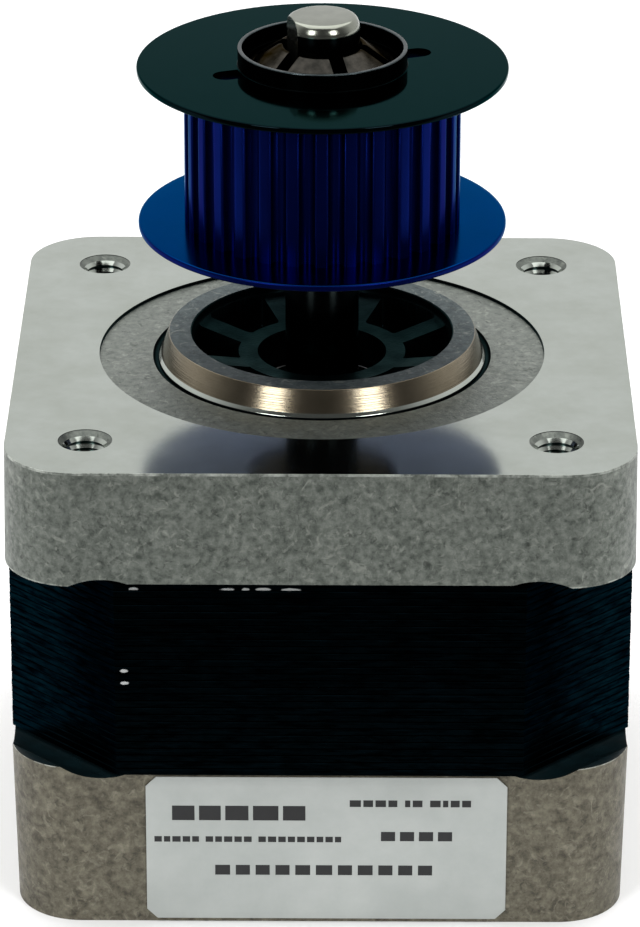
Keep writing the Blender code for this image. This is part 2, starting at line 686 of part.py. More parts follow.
def make_pulley(parent):
    """Blue toothed drum with its lower flange, split hub sleeve and black top flange."""
    drum = extruded("pulley_drum", [pulley_outline()], Z_PULLEY + 0.2, Z_DRUM_TOP)
    top = Z_PULLEY + LOWER_FLANGE_T
    edge = 0.12
    flange = [(0.0, top), (LOWER_FLANGE_R - edge, top), (LOWER_FLANGE_R, top - edge),
              (LOWER_FLANGE_R, Z_PULLEY + edge), (LOWER_FLANGE_R - edge, Z_PULLEY), (0.0, Z_PULLEY)]
    boolean(drum, turned("lower_flange", flange), "UNION")
    bore_r = HUB_R + AIR_GAP
    bore = [(0.0, Z_DRUM_TOP + 2.0), (bore_r, Z_DRUM_TOP + 2.0), (bore_r, Z_PULLEY - 2.0),
            (0.0, Z_PULLEY - 2.0)]
    boolean(drum, turned("drum_bore", bore, COARSE))
    place(drum, parent, "blue_drum")

    petal_top = 55.3
    profile = [(2.9, petal_top), (4.55, Z_HUB_LEDGE + 0.15), (4.6, Z_HUB_LEDGE), (HUB_R, Z_HUB_LEDGE),
               (HUB_R, Z_PULLEY + 0.1), (SHAFT_R + FIT_GAP, Z_PULLEY + 0.1),
               (SHAFT_R + FIT_GAP, petal_top)]
    hub = turned("pulley_hub", profile, COARSE)
    for k in range(PETALS):
        azimuth = 48.0 + 360.0 / PETALS * k
        slit = box(f"hub_slit_{k + 1}", (2.0, -SLIT_WIDTH / 2, Z_DRUM_TOP - 1.0),
                   (4.62, SLIT_WIDTH / 2, petal_top + 1.0))
        slit.matrix_world = Matrix.Rotation(math.radians(azimuth), 4, "Z") @ slit.matrix_basis
        boolean(hub, slit)
    place(hub, parent, "black_flange")

    under = Z_TOP_FLANGE
    over = Z_TOP_FLANGE + TOP_FLANGE_T
    plate = [(COLLAR_R, Z_COLLAR), (COLLAR_R, over), (TOP_FLANGE_R - edge, over),
             (TOP_FLANGE_R, over - edge), (TOP_FLANGE_R, under + edge), (TOP_FLANGE_R - edge, under),
             (FLANGE_BORE_R, under), (FLANGE_BORE_R, Z_COLLAR_LEDGE),
             (COLLAR_BORE_R, Z_COLLAR_LEDGE), (COLLAR_BORE_R, Z_COLLAR)]
    top_flange = turned("pulley_top_flange", plate)
    half = 0.85
    near, far = COLLAR_R + 0.05, 7.7 - half
    slot = arc((far, 0), half, -90.0, 90.0, 8) + [(near, half), (near, -half)]
    for k in range(2):
        outline = turn_points(slot, SLOT_AZIMUTH + 180.0 * k)
        boolean(top_flange, extruded(f"lock_slot_{k + 1}", [outline], under - 2.0, over + 2.0))
    place(top_flange, parent, "black_flange")


def main():
    """Build the motor and its pulley."""
    motor = empty("motor_frame")
    rotor = empty("rotor_axis")
    make_front_cap(motor)
    make_rear_cap(motor)
    make_stator(motor)
    make_coils(motor)
    make_screws(motor)
    make_connector(motor)
    make_label(motor)
    make_bearing("front", Z_FRONT_BEARING, motor, rotor)
    make_bearing("rear", Z_REAR_BEARING, motor, rotor)
    make_wave_washer(motor)
    make_rotor(rotor)
    make_pulley(rotor)


main()
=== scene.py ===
"""Looks of a square stepping motor with a toothed timing belt pulley on its shaft.

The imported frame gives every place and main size; the classes below make the fine surfaces and
finishes of the pieces that can be seen, and dress the inner pieces that stay as they are.
Lengths in the dataclass fields are millimetres, heights are above the underside of the motor.
"""
import json
import logging
import math
from collections.abc import Callable
from dataclasses import dataclass, field
from enum import Enum

import bmesh
import bpy
from mathutils import Matrix, Vector

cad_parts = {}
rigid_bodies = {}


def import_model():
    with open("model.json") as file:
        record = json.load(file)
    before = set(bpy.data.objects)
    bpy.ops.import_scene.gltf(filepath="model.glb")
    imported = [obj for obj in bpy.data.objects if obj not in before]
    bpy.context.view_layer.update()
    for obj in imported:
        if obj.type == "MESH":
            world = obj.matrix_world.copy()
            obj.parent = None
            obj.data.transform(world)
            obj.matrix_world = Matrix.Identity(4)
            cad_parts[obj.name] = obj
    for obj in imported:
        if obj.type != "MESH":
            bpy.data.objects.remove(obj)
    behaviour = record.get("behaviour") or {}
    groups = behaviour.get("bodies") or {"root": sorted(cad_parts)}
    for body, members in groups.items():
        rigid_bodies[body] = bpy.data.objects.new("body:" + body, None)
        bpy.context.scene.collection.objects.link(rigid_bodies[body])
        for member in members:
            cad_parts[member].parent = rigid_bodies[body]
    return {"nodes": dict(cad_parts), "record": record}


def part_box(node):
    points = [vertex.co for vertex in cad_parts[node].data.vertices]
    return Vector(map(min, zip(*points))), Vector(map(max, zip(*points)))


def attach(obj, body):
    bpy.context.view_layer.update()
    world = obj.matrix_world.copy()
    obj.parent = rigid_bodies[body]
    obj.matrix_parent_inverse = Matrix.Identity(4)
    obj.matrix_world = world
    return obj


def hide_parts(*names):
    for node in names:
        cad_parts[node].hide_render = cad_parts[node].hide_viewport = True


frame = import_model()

MM = 0.001
ROUND_STEPS = 144           # sides of the large turned forms
RING_STEPS = 96             # sides of the shaft, hub and bearing rings
SMALL_STEPS = 40            # sides of holes, screws and other small turned forms
FLANGE_STEPS = 192          # sides of the thin flanges
CORNER_STEPS = 4            # steps in a rounded corner of a profile
OVERCUT = 5.0               # how far most cutters reach past what they cut
WELD = 1e-7                 # metres; points closer than this are one point
log = logging.getLogger("pulley_motor")

Point2 = tuple[float, float]
Point3 = tuple[float, float, float]
Object = bpy.types.Object
Material = bpy.types.Material
Node = bpy.types.Node
Tree = bpy.types.NodeTree
Socket = bpy.types.NodeSocket
Chooser = Callable[[Vector, Vector], int]   # from a face's centre in mm and its normal to a slot


class Body(Enum):
    """The rigid bodies of the frame."""

    MOTOR = "motor"
    ROTOR = "rotor"
    FRONT_BALLS = "front_ball_set"
    REAR_BALLS = "rear_ball_set"


class Lay(Enum):
    """How the tool marks run on a machined surface."""

    ALONG_X = "straight"
    ROUND_Z = "rings"


# Shared tools ----------------------------------------------------------------------------------
def linear(hex_code: str) -> tuple[float, float, float, float]:
    """Turn an sRGB hex colour into linear RGBA.

    Args:
        hex_code: six hex digits with a leading #.

    Returns:
        The linear colour with alpha 1.
    """
    values = [int(hex_code[i:i + 2], 16) / 255 for i in (1, 3, 5)]
    channels = [v / 12.92 if v <= 0.04045 else ((v + 0.055) / 1.055) ** 2.4 for v in values]
    return (*channels, 1.0)


def add_node(tree: Tree, kind: str, settings: dict | None = None,
             inputs: dict | None = None) -> Node:
    """Add a node, set its properties, and set or link its inputs.

    Args:
        tree: the tree that the node goes in.
        kind: the node's type name.
        settings: property names and values.
        inputs: socket names or indices with values, or with the sockets that feed them.

    Returns:
        The new node.
    """
    node = tree.nodes.new(kind)
    for key, value in (settings or {}).items():
        setattr(node, key, value)
    for key, value in (inputs or {}).items():
        if isinstance(value, Socket):
            tree.links.new(value, node.inputs[key])
        else:
            node.inputs[key].default_value = value
    return node


def per_mm(size: float) -> float:
    """Give the texture scale whose features are a size in millimetres across."""
    return 1.0 / (size * MM)


def polar(radius: float, degrees: float) -> Point2:
    """Give the point at a radius and azimuth."""
    angle = math.radians(degrees)
    return radius * math.cos(angle), radius * math.sin(angle)


def arc(centre: Point2, radius: float, start: float, end: float, count: int) -> list[Point2]:
    """Give points along an arc, both ends included.

    Args:
        centre: the arc's centre.
        radius: its radius.
        start: azimuth of its first point in degrees.
        end: azimuth of its last point in degrees.
        count: number of steps between them.

    Returns:
        The points in order.
    """
    steps = [start + (end - start) * i / count for i in range(count + 1)]
    return [(centre[0] + polar(radius, a)[0], centre[1] + polar(radius, a)[1]) for a in steps]


def circle(radius: float, count: int, centre: Point2 = (0.0, 0.0)) -> list[Point2]:
    """Give the points of a full circle."""
    return arc(centre, radius, 0.0, 360.0, count)[:-1]


def about_z(degrees: float) -> Matrix:
    """Give a turn about the Z axis."""
    return Matrix.Rotation(math.radians(degrees), 4, "Z")


def rounded_square(half: float, corner: float, count: int = 16) -> list[Point2]:
    """Give a square outline with round corners.

    Args:
        half: half its width.
        corner: radius of its corners.
        count: steps in each corner.

    Returns:
        The points, counter-clockwise.
    """
    points = []
    for quarter in range(4):
        start = 90.0 * quarter
        centre = polar((half - corner) * math.sqrt(2.0), start + 45.0)
        points += arc(centre, corner, start, start + 90.0, count)
    return points


def octagon(half: float, leg: float) -> list[Point2]:
    """Give a square outline whose corners are cut off by legs of a given length."""
    points = []
    for quarter in range(4):
        turn = Matrix.Rotation(math.radians(90.0 * quarter), 2)
        points += [tuple(turn @ Vector(p)) for p in ((half, half - leg), (half - leg, half))]
    return points


def turn_points(points: list[Point2], degrees: float) -> list[Point2]:
    """Turn outline points about the origin."""
    turn = Matrix.Rotation(math.radians(degrees), 2)
    return [tuple(turn @ Vector(p)) for p in points]


def round_profile(corners: list[Point3], steps: int = CORNER_STEPS) -> list[Point2]:
    """Round the corners of a profile.

    Args:
        corners: radius, height and rounding of each corner, in order; 0 leaves it sharp.
        steps: steps in each rounding.

    Returns:
        The profile's points, with a curve in place of each rounded corner.
    """
    points = []
    count = len(corners)
    for i, (x, y, rounding) in enumerate(corners):
        here = Vector((x, y))
        if rounding <= 0.0:
            points.append((x, y))
            continue
        before = Vector(corners[i - 1][:2]) - here
        after = Vector(corners[(i + 1) % count][:2]) - here
        start = here + before.normalized() * rounding
        end = here + after.normalized() * rounding
        for k in range(steps + 1):
            t = k / steps
            points.append(tuple(start * (1 - t) ** 2 + here * 2 * t * (1 - t) + end * t ** 2))
    return points


def node_box(node: str) -> tuple[Vector, Vector]:
    """Give a CAD node's lowest and highest corners in millimetres."""
    low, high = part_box(node)
    return low / MM, high / MM


def link(obj: Object) -> Object:
    """Put an object in the scene."""
    bpy.context.scene.collection.objects.link(obj)
    return obj


def from_bmesh(name: str, work: bmesh.types.BMesh) -> Object:
    """Make an object of a finished bmesh, which is freed."""
    mesh = bpy.data.meshes.new(name)
    work.to_mesh(mesh)
    work.free()
    return link(bpy.data.objects.new(name, mesh))


def drop(obj: Object) -> None:
    """Remove an object that was only a tool."""
    bpy.data.objects.remove(obj, do_unlink=True)


def evaluated_mesh(obj: Object) -> bpy.types.Mesh:
    """Give an object's mesh with its modifiers taken in."""
    bpy.context.view_layer.update()
    evaluated = obj.evaluated_get(bpy.context.evaluated_depsgraph_get())
    return bpy.data.meshes.new_from_object(evaluated)


def plain(obj: Object, angle: float = 32.0) -> Object:
    """Turn an object with modifiers into a plain mesh at the origin, smooth on its round sides.

    Args:
        obj: the object, which is removed.
        angle: edges sharper than this many degrees stay sharp.

    Returns:
        The plain object, under the same name.
    """
    mesh = evaluated_mesh(obj)
    mesh.transform(obj.matrix_world)
    name = obj.name
    drop(obj)
    work = bmesh.new()
    work.from_mesh(mesh)
    bmesh.ops.remove_doubles(work, verts=work.verts, dist=WELD)
    bmesh.ops.dissolve_degenerate(work, edges=work.edges, dist=WELD)
    work.to_mesh(mesh)
    work.free()
    mesh.name = name
    mesh.shade_smooth()
    mesh.set_sharp_from_angle(angle=math.radians(angle))
    return link(bpy.data.objects.new(name, mesh))


def weigh_normals(obj: Object) -> Object:
    """Let the large flat faces rule the shading of the small roundings beside them."""
    modifier = obj.modifiers.new("normals", "WEIGHTED_NORMAL")
    modifier.keep_sharp = True
    mesh = evaluated_mesh(obj)
    obj.modifiers.remove(modifier)
    obj.data = mesh
    return obj


def turned(name: str, profile: list[Point2], steps: int = ROUND_STEPS,
           at: Point3 = (0.0, 0.0, 0.0)) -> Object:
    """Turn a profile about Z with a Screw modifier.

    Args:
        name: the object's name.
        profile: radius and height of each point, running down the outer side; a profile that
            starts off the axis is closed.
        steps: number of sides.
        at: where the axis stands.

    Returns:
        The object, with its live modifier.
    """
    mesh = bpy.data.meshes.new(name)
    edges = [(i, i + 1) for i in range(len(profile) - 1)]
    if profile[0][0] > 0.0:
        edges.append((len(profile) - 1, 0))
    mesh.from_pydata([(r * MM, 0.0, z * MM) for r, z in profile], edges, [])
    obj = link(bpy.data.objects.new(name, mesh))
    obj.location = [v * MM for v in at]
    screw = obj.modifiers.new("turned", "SCREW")
    screw.steps = steps
    screw.render_steps = steps
    screw.use_merge_vertices = True
    screw.merge_threshold = 1e-6
    return obj


def extruded(name: str, loops: list[list[Point2]], low: float, high: float) -> Object:
    """Extrude a flat outline between two heights.

    Args:
        name: the object's name.
        loops: the outline, then its holes.
        low: height of its underside.
        high: height of its top.

    Returns:
        A plain mesh object at the origin.
    """
    curve = bpy.data.curves.new(name, "CURVE")
    curve.dimensions = "2D"
    curve.fill_mode = "BOTH"
    curve.extrude = (high - low) / 2 * MM
    for loop in loops:
        spline = curve.splines.new("POLY")
        spline.points.add(len(loop) - 1)
        for point, (x, y) in zip(spline.points, loop):
            point.co = (x * MM, y * MM, 0.0, 1.0)
        spline.use_cyclic_u = True
    obj = link(bpy.data.objects.new(name, curve))
    obj.location.z = (low + high) / 2 * MM
    return plain(obj)


def box(name: str, low: Point3,
        high: Point3) -> Object:
    """Make a box from its lowest and highest corners."""
    work = bmesh.new()
    place = Matrix.Translation([(a + b) / 2 * MM for a, b in zip(low, high)])
    size = Matrix.Diagonal([(b - a) * MM for a, b in zip(low, high)] + [1.0])
    bmesh.ops.create_cube(work, size=1.0, matrix=place @ size)
    return from_bmesh(name, work)


def bevel(obj: Object, width: float, segments: int = 3,
          angle: float = 40.0) -> Object:
    """Round the edges that are sharper than an angle and make the result plain."""
    modifier = obj.modifiers.new("rounding", "BEVEL")
    modifier.width = width * MM
    modifier.segments = segments
    modifier.limit_method = "ANGLE"
    modifier.angle_limit = math.radians(angle)
    modifier.use_clamp_overlap = True
    return plain(obj)


def shape(obj: Object, tools: list[Object],
          operation: str = "DIFFERENCE") -> Object:
    """Cut an object with tools, or join them to it, and remove the tools.

    Args:
        obj: the object to work on.
        tools: closed objects.
        operation: DIFFERENCE or UNION.

    Returns:
        The plain result.
    """
    for tool in tools:
        modifier = obj.modifiers.new(tool.name, "BOOLEAN")
        modifier.operation = operation
        modifier.solver = "EXACT"
        modifier.object = tool
    result = plain(obj)
    for tool in tools:
        drop(tool)
    return result


def assign(obj: Object, materials: list[Material],
           choose: Chooser | None = None) -> Object:
    """Dress an object.

    Args:
        obj: the object.
        materials: its materials in slot order.
        choose: what picks each face's slot; without it every face takes the first.

    Returns:
        The same object.
    """
    obj.data.materials.clear()
    for material in materials:
        obj.data.materials.append(material)
    for polygon in obj.data.polygons:
        polygon.material_index = choose(polygon.center / MM, polygon.normal) if choose else 0
    return obj


def deliver(obj: Object, body: Body, slot: str, *nodes: str) -> Object:
    """Hand a finished piece to the frame.

    Args:
        obj: the piece.
        body: the body that it rides on.
        slot: the record's material slot; not used.
        nodes: the CAD nodes that it stands for.

    Returns:
        The piece.
    """
    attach(obj, body.value)
    if nodes:
        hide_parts(*nodes)
    log.info("%s: %d faces on %s", obj.name, len(obj.data.polygons), body.value)
    return obj


# Geometry Nodes ----------------------------------------------------------------------------------
class RepeatTree:
    """A Geometry Nodes tree that repeats its input mesh and gives it a material."""

    def __init__(self, name: str, numbers: dict[str, str]) -> None:
        """Start a tree.

        Args:
            name: the tree's name.
            numbers: names and socket types of the inputs after Geometry and Material.
        """
        self.tree = bpy.data.node_groups.new(name, "GeometryNodeTree")
        face = self.tree.interface
        self.ids = {"Geometry": face.new_socket("Geometry", in_out="INPUT",
                                                socket_type="NodeSocketGeometry").identifier}
        self.ids["Material"] = face.new_socket("Material", in_out="INPUT",
                                               socket_type="NodeSocketMaterial").identifier
        for label, kind in numbers.items():
            self.ids[label] = face.new_socket(label, in_out="INPUT", socket_type=kind).identifier
        face.new_socket("Geometry", in_out="OUTPUT", socket_type="NodeSocketGeometry")
        self.start = self.tree.nodes.new("NodeGroupInput")

    def add(self, kind: str, settings: dict | None = None,
            inputs: dict | None = None) -> Node:
        """Add a node to the tree."""
        return add_node(self.tree, kind, settings, inputs)

    def given(self, label: str) -> Socket:
        """Give the socket of a named input."""
        return self.start.outputs[label]

    def close(self, instances: Socket, merge: float = 0.0) -> None:
        """End the tree: realize the instances, weld what meets, and set the material."""
        last = self.add("GeometryNodeRealizeInstances", inputs={"Geometry": instances})
        if merge > 0.0:
            last = self.add("GeometryNodeMergeByDistance",
                            inputs={"Geometry": last.outputs[0], "Distance": merge})
        last = self.add("GeometryNodeSetMaterial",
                        inputs={"Geometry": last.outputs[0], "Material": self.given("Material")})
        self.add("NodeGroupOutput", inputs={0: last.outputs[0]})

    def run(self, obj: Object, material: Material, values: dict,
            angle: float = 32.0) -> Object:
        """Run the tree on an object and make the result a plain mesh.

        Args:
            obj: the object that holds the mesh to repeat.
            material: the finish of the result.
            values: values of the named inputs.
            angle: edges sharper than this stay sharp.

        Returns:
            The plain result, under the same name.
        """
        modifier = obj.modifiers.new(self.tree.name, "NODES")
        modifier.node_group = self.tree
        modifier[self.ids["Material"]] = material
        for label, value in values.items():
            modifier[self.ids[label]] = value
        result = plain(obj, angle)
        return assign(result, [material])


def polar_tree() -> RepeatTree:
    """Build the tree that sets copies of its mesh round the Z axis and welds them where they meet."""
    tree = RepeatTree("round_the_axis", {"Count": "NodeSocketInt", "Start": "NodeSocketFloat"})
    line = tree.add("GeometryNodeMeshLine",
                    inputs={"Count": tree.given("Count"), "Offset": (0.0, 0.0, 0.0)})
    index = tree.add("GeometryNodeInputIndex")
    step = tree.add("ShaderNodeMath", {"operation": "DIVIDE"},
                    {0: math.tau, 1: tree.given("Count")})
    turn = tree.add("ShaderNodeMath", {"operation": "MULTIPLY_ADD"},
                    {0: index.outputs[0], 1: step.outputs[0], 2: tree.given("Start")})
    angles = tree.add("ShaderNodeCombineXYZ", inputs={"Z": turn.outputs[0]})
    copies = tree.add("GeometryNodeInstanceOnPoints",
                      inputs={"Points": line.outputs[0], "Instance": tree.given("Geometry"),
                              "Rotation": angles.outputs[0]})
    tree.close(copies.outputs[0], merge=2e-6)
    return tree


def pile_tree() -> RepeatTree:
    """Build the tree that piles copies of a sheet, each a little off its place as in a pressed stack."""
    tree = RepeatTree("pile_of_sheets", {"Count": "NodeSocketInt", "Pitch": "NodeSocketVector",
                                         "Shift": "NodeSocketVector", "Seed": "NodeSocketInt"})
    line = tree.add("GeometryNodeMeshLine",
                    inputs={"Count": tree.given("Count"), "Offset": tree.given("Pitch")})
    minus = tree.add("ShaderNodeVectorMath", {"operation": "SCALE"},
                     {0: tree.given("Shift"), "Scale": -1.0})
    stray = tree.add("FunctionNodeRandomValue", {"data_type": "FLOAT_VECTOR"},
                     {"Min": minus.outputs[0], "Max": tree.given("Shift"),
                      "Seed": tree.given("Seed")})
    points = tree.add("GeometryNodeSetPosition",
                      inputs={"Geometry": line.outputs[0], "Offset": stray.outputs[0]})
    copies = tree.add("GeometryNodeInstanceOnPoints",
                      inputs={"Points": points.outputs[0], "Instance": tree.given("Geometry")})
    tree.close(copies.outputs[0])
    return tree


def dash_tree() -> RepeatTree:
    """Build the tree that lays a printed dash on each point, as wide and high as the point says."""
    tree = RepeatTree("printed_dashes", {"Thickness": "NodeSocketFloat"})
    size = tree.add("GeometryNodeInputNamedAttribute", {"data_type": "FLOAT_VECTOR"},
                    {"Name": "dash_size"})
    points = tree.add("GeometryNodeMeshToPoints", inputs={"Mesh": tree.given("Geometry")})
    cube = tree.add("GeometryNodeMeshCube", inputs={"Size": (1.0, 1.0, 1.0)})
    depth = tree.add("ShaderNodeCombineXYZ",
                     inputs={"X": 1.0, "Y": tree.given("Thickness"), "Z": 1.0})
    scale = tree.add("ShaderNodeVectorMath", {"operation": "MULTIPLY"},
                     {0: size.outputs["Attribute"], 1: depth.outputs[0]})
    copies = tree.add("GeometryNodeInstanceOnPoints",
                      inputs={"Points": points.outputs[0], "Instance": cube.outputs["Mesh"],
                              "Scale": scale.outputs[0]})
    tree.close(copies.outputs[0])
    return tree


# Finishes ----------------------------------------------------------------------------------------
@dataclass(frozen=True)
class Finish:
    """A surface with mottled colour, uneven gloss and a grain, all worked out in millimetres."""

    name: str
    dark: str
    light: str
    metallic: float
    gloss: Point2          # roughness, lowest and highest
    mottle_mm: float = 1.2
    grain_mm: float = 0.15
    grain_height_mm: float = 0.008
    specular: float = 0.5
    edge_tint: str = "#FFFFFF"          # colour of the reflection at grazing angles
    contrast: float = 0.25              # how far the mottle's edges are drawn in

    def coordinates(self, tree: Tree) -> Socket:
        """Give the coordinates that the patterns read."""
        return add_node(tree, "ShaderNodeTexCoord").outputs["Object"]

    def grain(self, tree: Tree, coords: Socket) -> Socket:
        """Give the height pattern of the grain."""
        noise = add_node(tree, "ShaderNodeTexNoise",
                         inputs={"Vector": coords, "Scale": per_mm(self.grain_mm),
                                 "Detail": 3.0, "Roughness": 0.6})
        return noise.outputs["Fac"]

    def colour(self, tree: Tree, coords: Socket) -> Socket:
        """Give the mottled base colour."""
        noise = add_node(tree, "ShaderNodeTexNoise",
                         inputs={"Vector": coords, "Scale": per_mm(self.mottle_mm),
                                 "Detail": 6.0, "Roughness": 0.65})
        ramp = add_node(tree, "ShaderNodeValToRGB", inputs={"Fac": noise.outputs["Fac"]})
        first, last = ramp.color_ramp.elements
        first.position = self.contrast
        last.position = 1.0 - self.contrast
        first.color = linear(self.dark)
        last.color = linear(self.light)
        return ramp.outputs["Color"]

    def roughness(self, tree: Tree, coords: Socket) -> Socket:
        """Give the uneven gloss."""
        noise = add_node(tree, "ShaderNodeTexNoise",
                         inputs={"Vector": coords, "Scale": per_mm(self.mottle_mm * 2.3),
                                 "Detail": 4.0})
        spread = add_node(tree, "ShaderNodeMapRange",
                          inputs={"Value": noise.outputs["Fac"], "From Min": 0.3,
                                  "From Max": 0.7, "To Min": self.gloss[0],
                                  "To Max": self.gloss[1]})
        return spread.outputs["Result"]

    def build(self) -> Material:
        """Make the material.

        Returns:
            A material whose patterns read object coordinates.
        """
        material = bpy.data.materials.new(self.name)
        material.use_nodes = True
        tree = material.node_tree
        shader = tree.nodes["Principled BSDF"]
        coords = self.coordinates(tree)
        bump = add_node(tree, "ShaderNodeBump",
                        inputs={"Strength": 1.0, "Distance": self.grain_height_mm * MM,
                                "Height": self.grain(tree, coords)})
        shader.inputs["Metallic"].default_value = self.metallic
        shader.inputs["Specular IOR Level"].default_value = self.specular
        shader.inputs["Specular Tint"].default_value = linear(self.edge_tint)
        tree.links.new(self.colour(tree, coords), shader.inputs["Base Color"])
        tree.links.new(self.roughness(tree, coords), shader.inputs["Roughness"])
        tree.links.new(bump.outputs["Normal"], shader.inputs["Normal"])
        material.diffuse_color = linear(self.light)
        return material


@dataclass(frozen=True)
class ToolMarked(Finish):
    """A machined surface whose fine marks run straight, or in rings about the shaft axis."""

    lay: Lay = Lay.ALONG_X
    straight: Point3 = (0.02, 1.0, 1.0)     # squeezes the pattern, so straight marks are long

    def grain(self, tree: Tree, coords: Socket) -> Socket:
        """Give the height pattern of the tool marks."""
        if self.lay is Lay.ROUND_Z:
            parts = add_node(tree, "ShaderNodeSeparateXYZ", inputs={"Vector": coords})
            across = add_node(tree, "ShaderNodeCombineXYZ",
                              inputs={"X": parts.outputs["X"], "Y": parts.outputs["Y"]})
            radius = add_node(tree, "ShaderNodeVectorMath", {"operation": "LENGTH"},
                              {0: across.outputs[0]})
            marks = add_node(tree, "ShaderNodeCombineXYZ",
                             inputs={"X": radius.outputs["Value"], "Z": parts.outputs["Z"]})
        else:
            marks = add_node(tree, "ShaderNodeVectorMath", {"operation": "MULTIPLY"},
                             {0: coords, 1: self.straight})
        noise = add_node(tree, "ShaderNodeTexNoise",
                         inputs={"Vector": marks.outputs[0], "Scale": per_mm(self.grain_mm),
                                 "Detail": 2.0})
        return noise.outputs["Fac"]


@dataclass(frozen=True)
class CastSkin(Finish):
    """A shot-blasted casting: dark pits, short bright scuffs and painted highlights in patches along
    listed edges.
    """

    highlit_edges: tuple[Point2, ...] = ()       # height and half the width of each edge that gets a painted highlight
    # colour of the painted edge highlights
    edge_highlight_hex: str = "#B4B9B1"
    pit_hex: str = "#2B2E2A"
    scuff_hex: str = "#A3A79E"
    pit_mm: float = 0.6
    scuff_mm: float = 0.9

    def colour(self, tree: Tree, coords: Socket) -> Socket:
        """Give the skin's colour with its pits and scuffs."""
        tone = super().colour(tree, coords)
        # of each layer: shade, size, twist, noise where it starts and is full, and its strength
        layers = ((self.pit_hex, self.pit_mm, 1.2, 0.42, 0.3, 0.6),
                  (self.scuff_hex, self.scuff_mm, 1.6, 0.56, 0.72, 0.5))
        for number, (shade, size, twist, start, full, most) in enumerate(layers):
            shifted = add_node(tree, "ShaderNodeVectorMath", {"operation": "ADD"},
                               {0: coords, 1: (0.013 * number, 0.007, 0.0)})
            noise = add_node(tree, "ShaderNodeTexNoise",
                             inputs={"Vector": shifted.outputs[0], "Scale": per_mm(size),
                                     "Detail": 4.0, "Roughness": 0.6, "Distortion": twist})
            cover = add_node(tree, "ShaderNodeMapRange",
                             inputs={"Value": noise.outputs["Fac"], "From Min": start,
                                     "From Max": full, "To Max": most})
            mix = add_node(tree, "ShaderNodeMix", {"data_type": "RGBA"},
                           {"Factor": cover.outputs["Result"], 6: tone, 7: linear(shade)})
            tone = mix.outputs[2]
        # painted highlight: lighter patches in a thin band at each listed edge height
        highlight_noise = add_node(tree, "ShaderNodeTexNoise",
                        inputs={"Vector": coords, "Scale": per_mm(1.6), "Detail": 5.0,
                                "Roughness": 0.75})
        patches = add_node(tree, "ShaderNodeMapRange",
                           inputs={"Value": highlight_noise.outputs["Fac"], "From Min": 0.42,
                                   "From Max": 0.62})
        parts = add_node(tree, "ShaderNodeSeparateXYZ", inputs={"Vector": coords})
        for height, half in self.highlit_edges:
            near = add_node(tree, "ShaderNodeMath", {"operation": "COMPARE"},
                            {0: parts.outputs["Z"], 1: height * MM, 2: half * MM})
            highlight_cover = add_node(tree, "ShaderNodeMath", {"operation": "MULTIPLY"},
                              {0: near.outputs[0], 1: patches.outputs["Result"]})
            mix = add_node(tree, "ShaderNodeMix", {"data_type": "RGBA"},
                           {"Factor": highlight_cover.outputs[0], 6: tone, 7: linear(self.edge_highlight_hex)})
            tone = mix.outputs[2]
        return tone


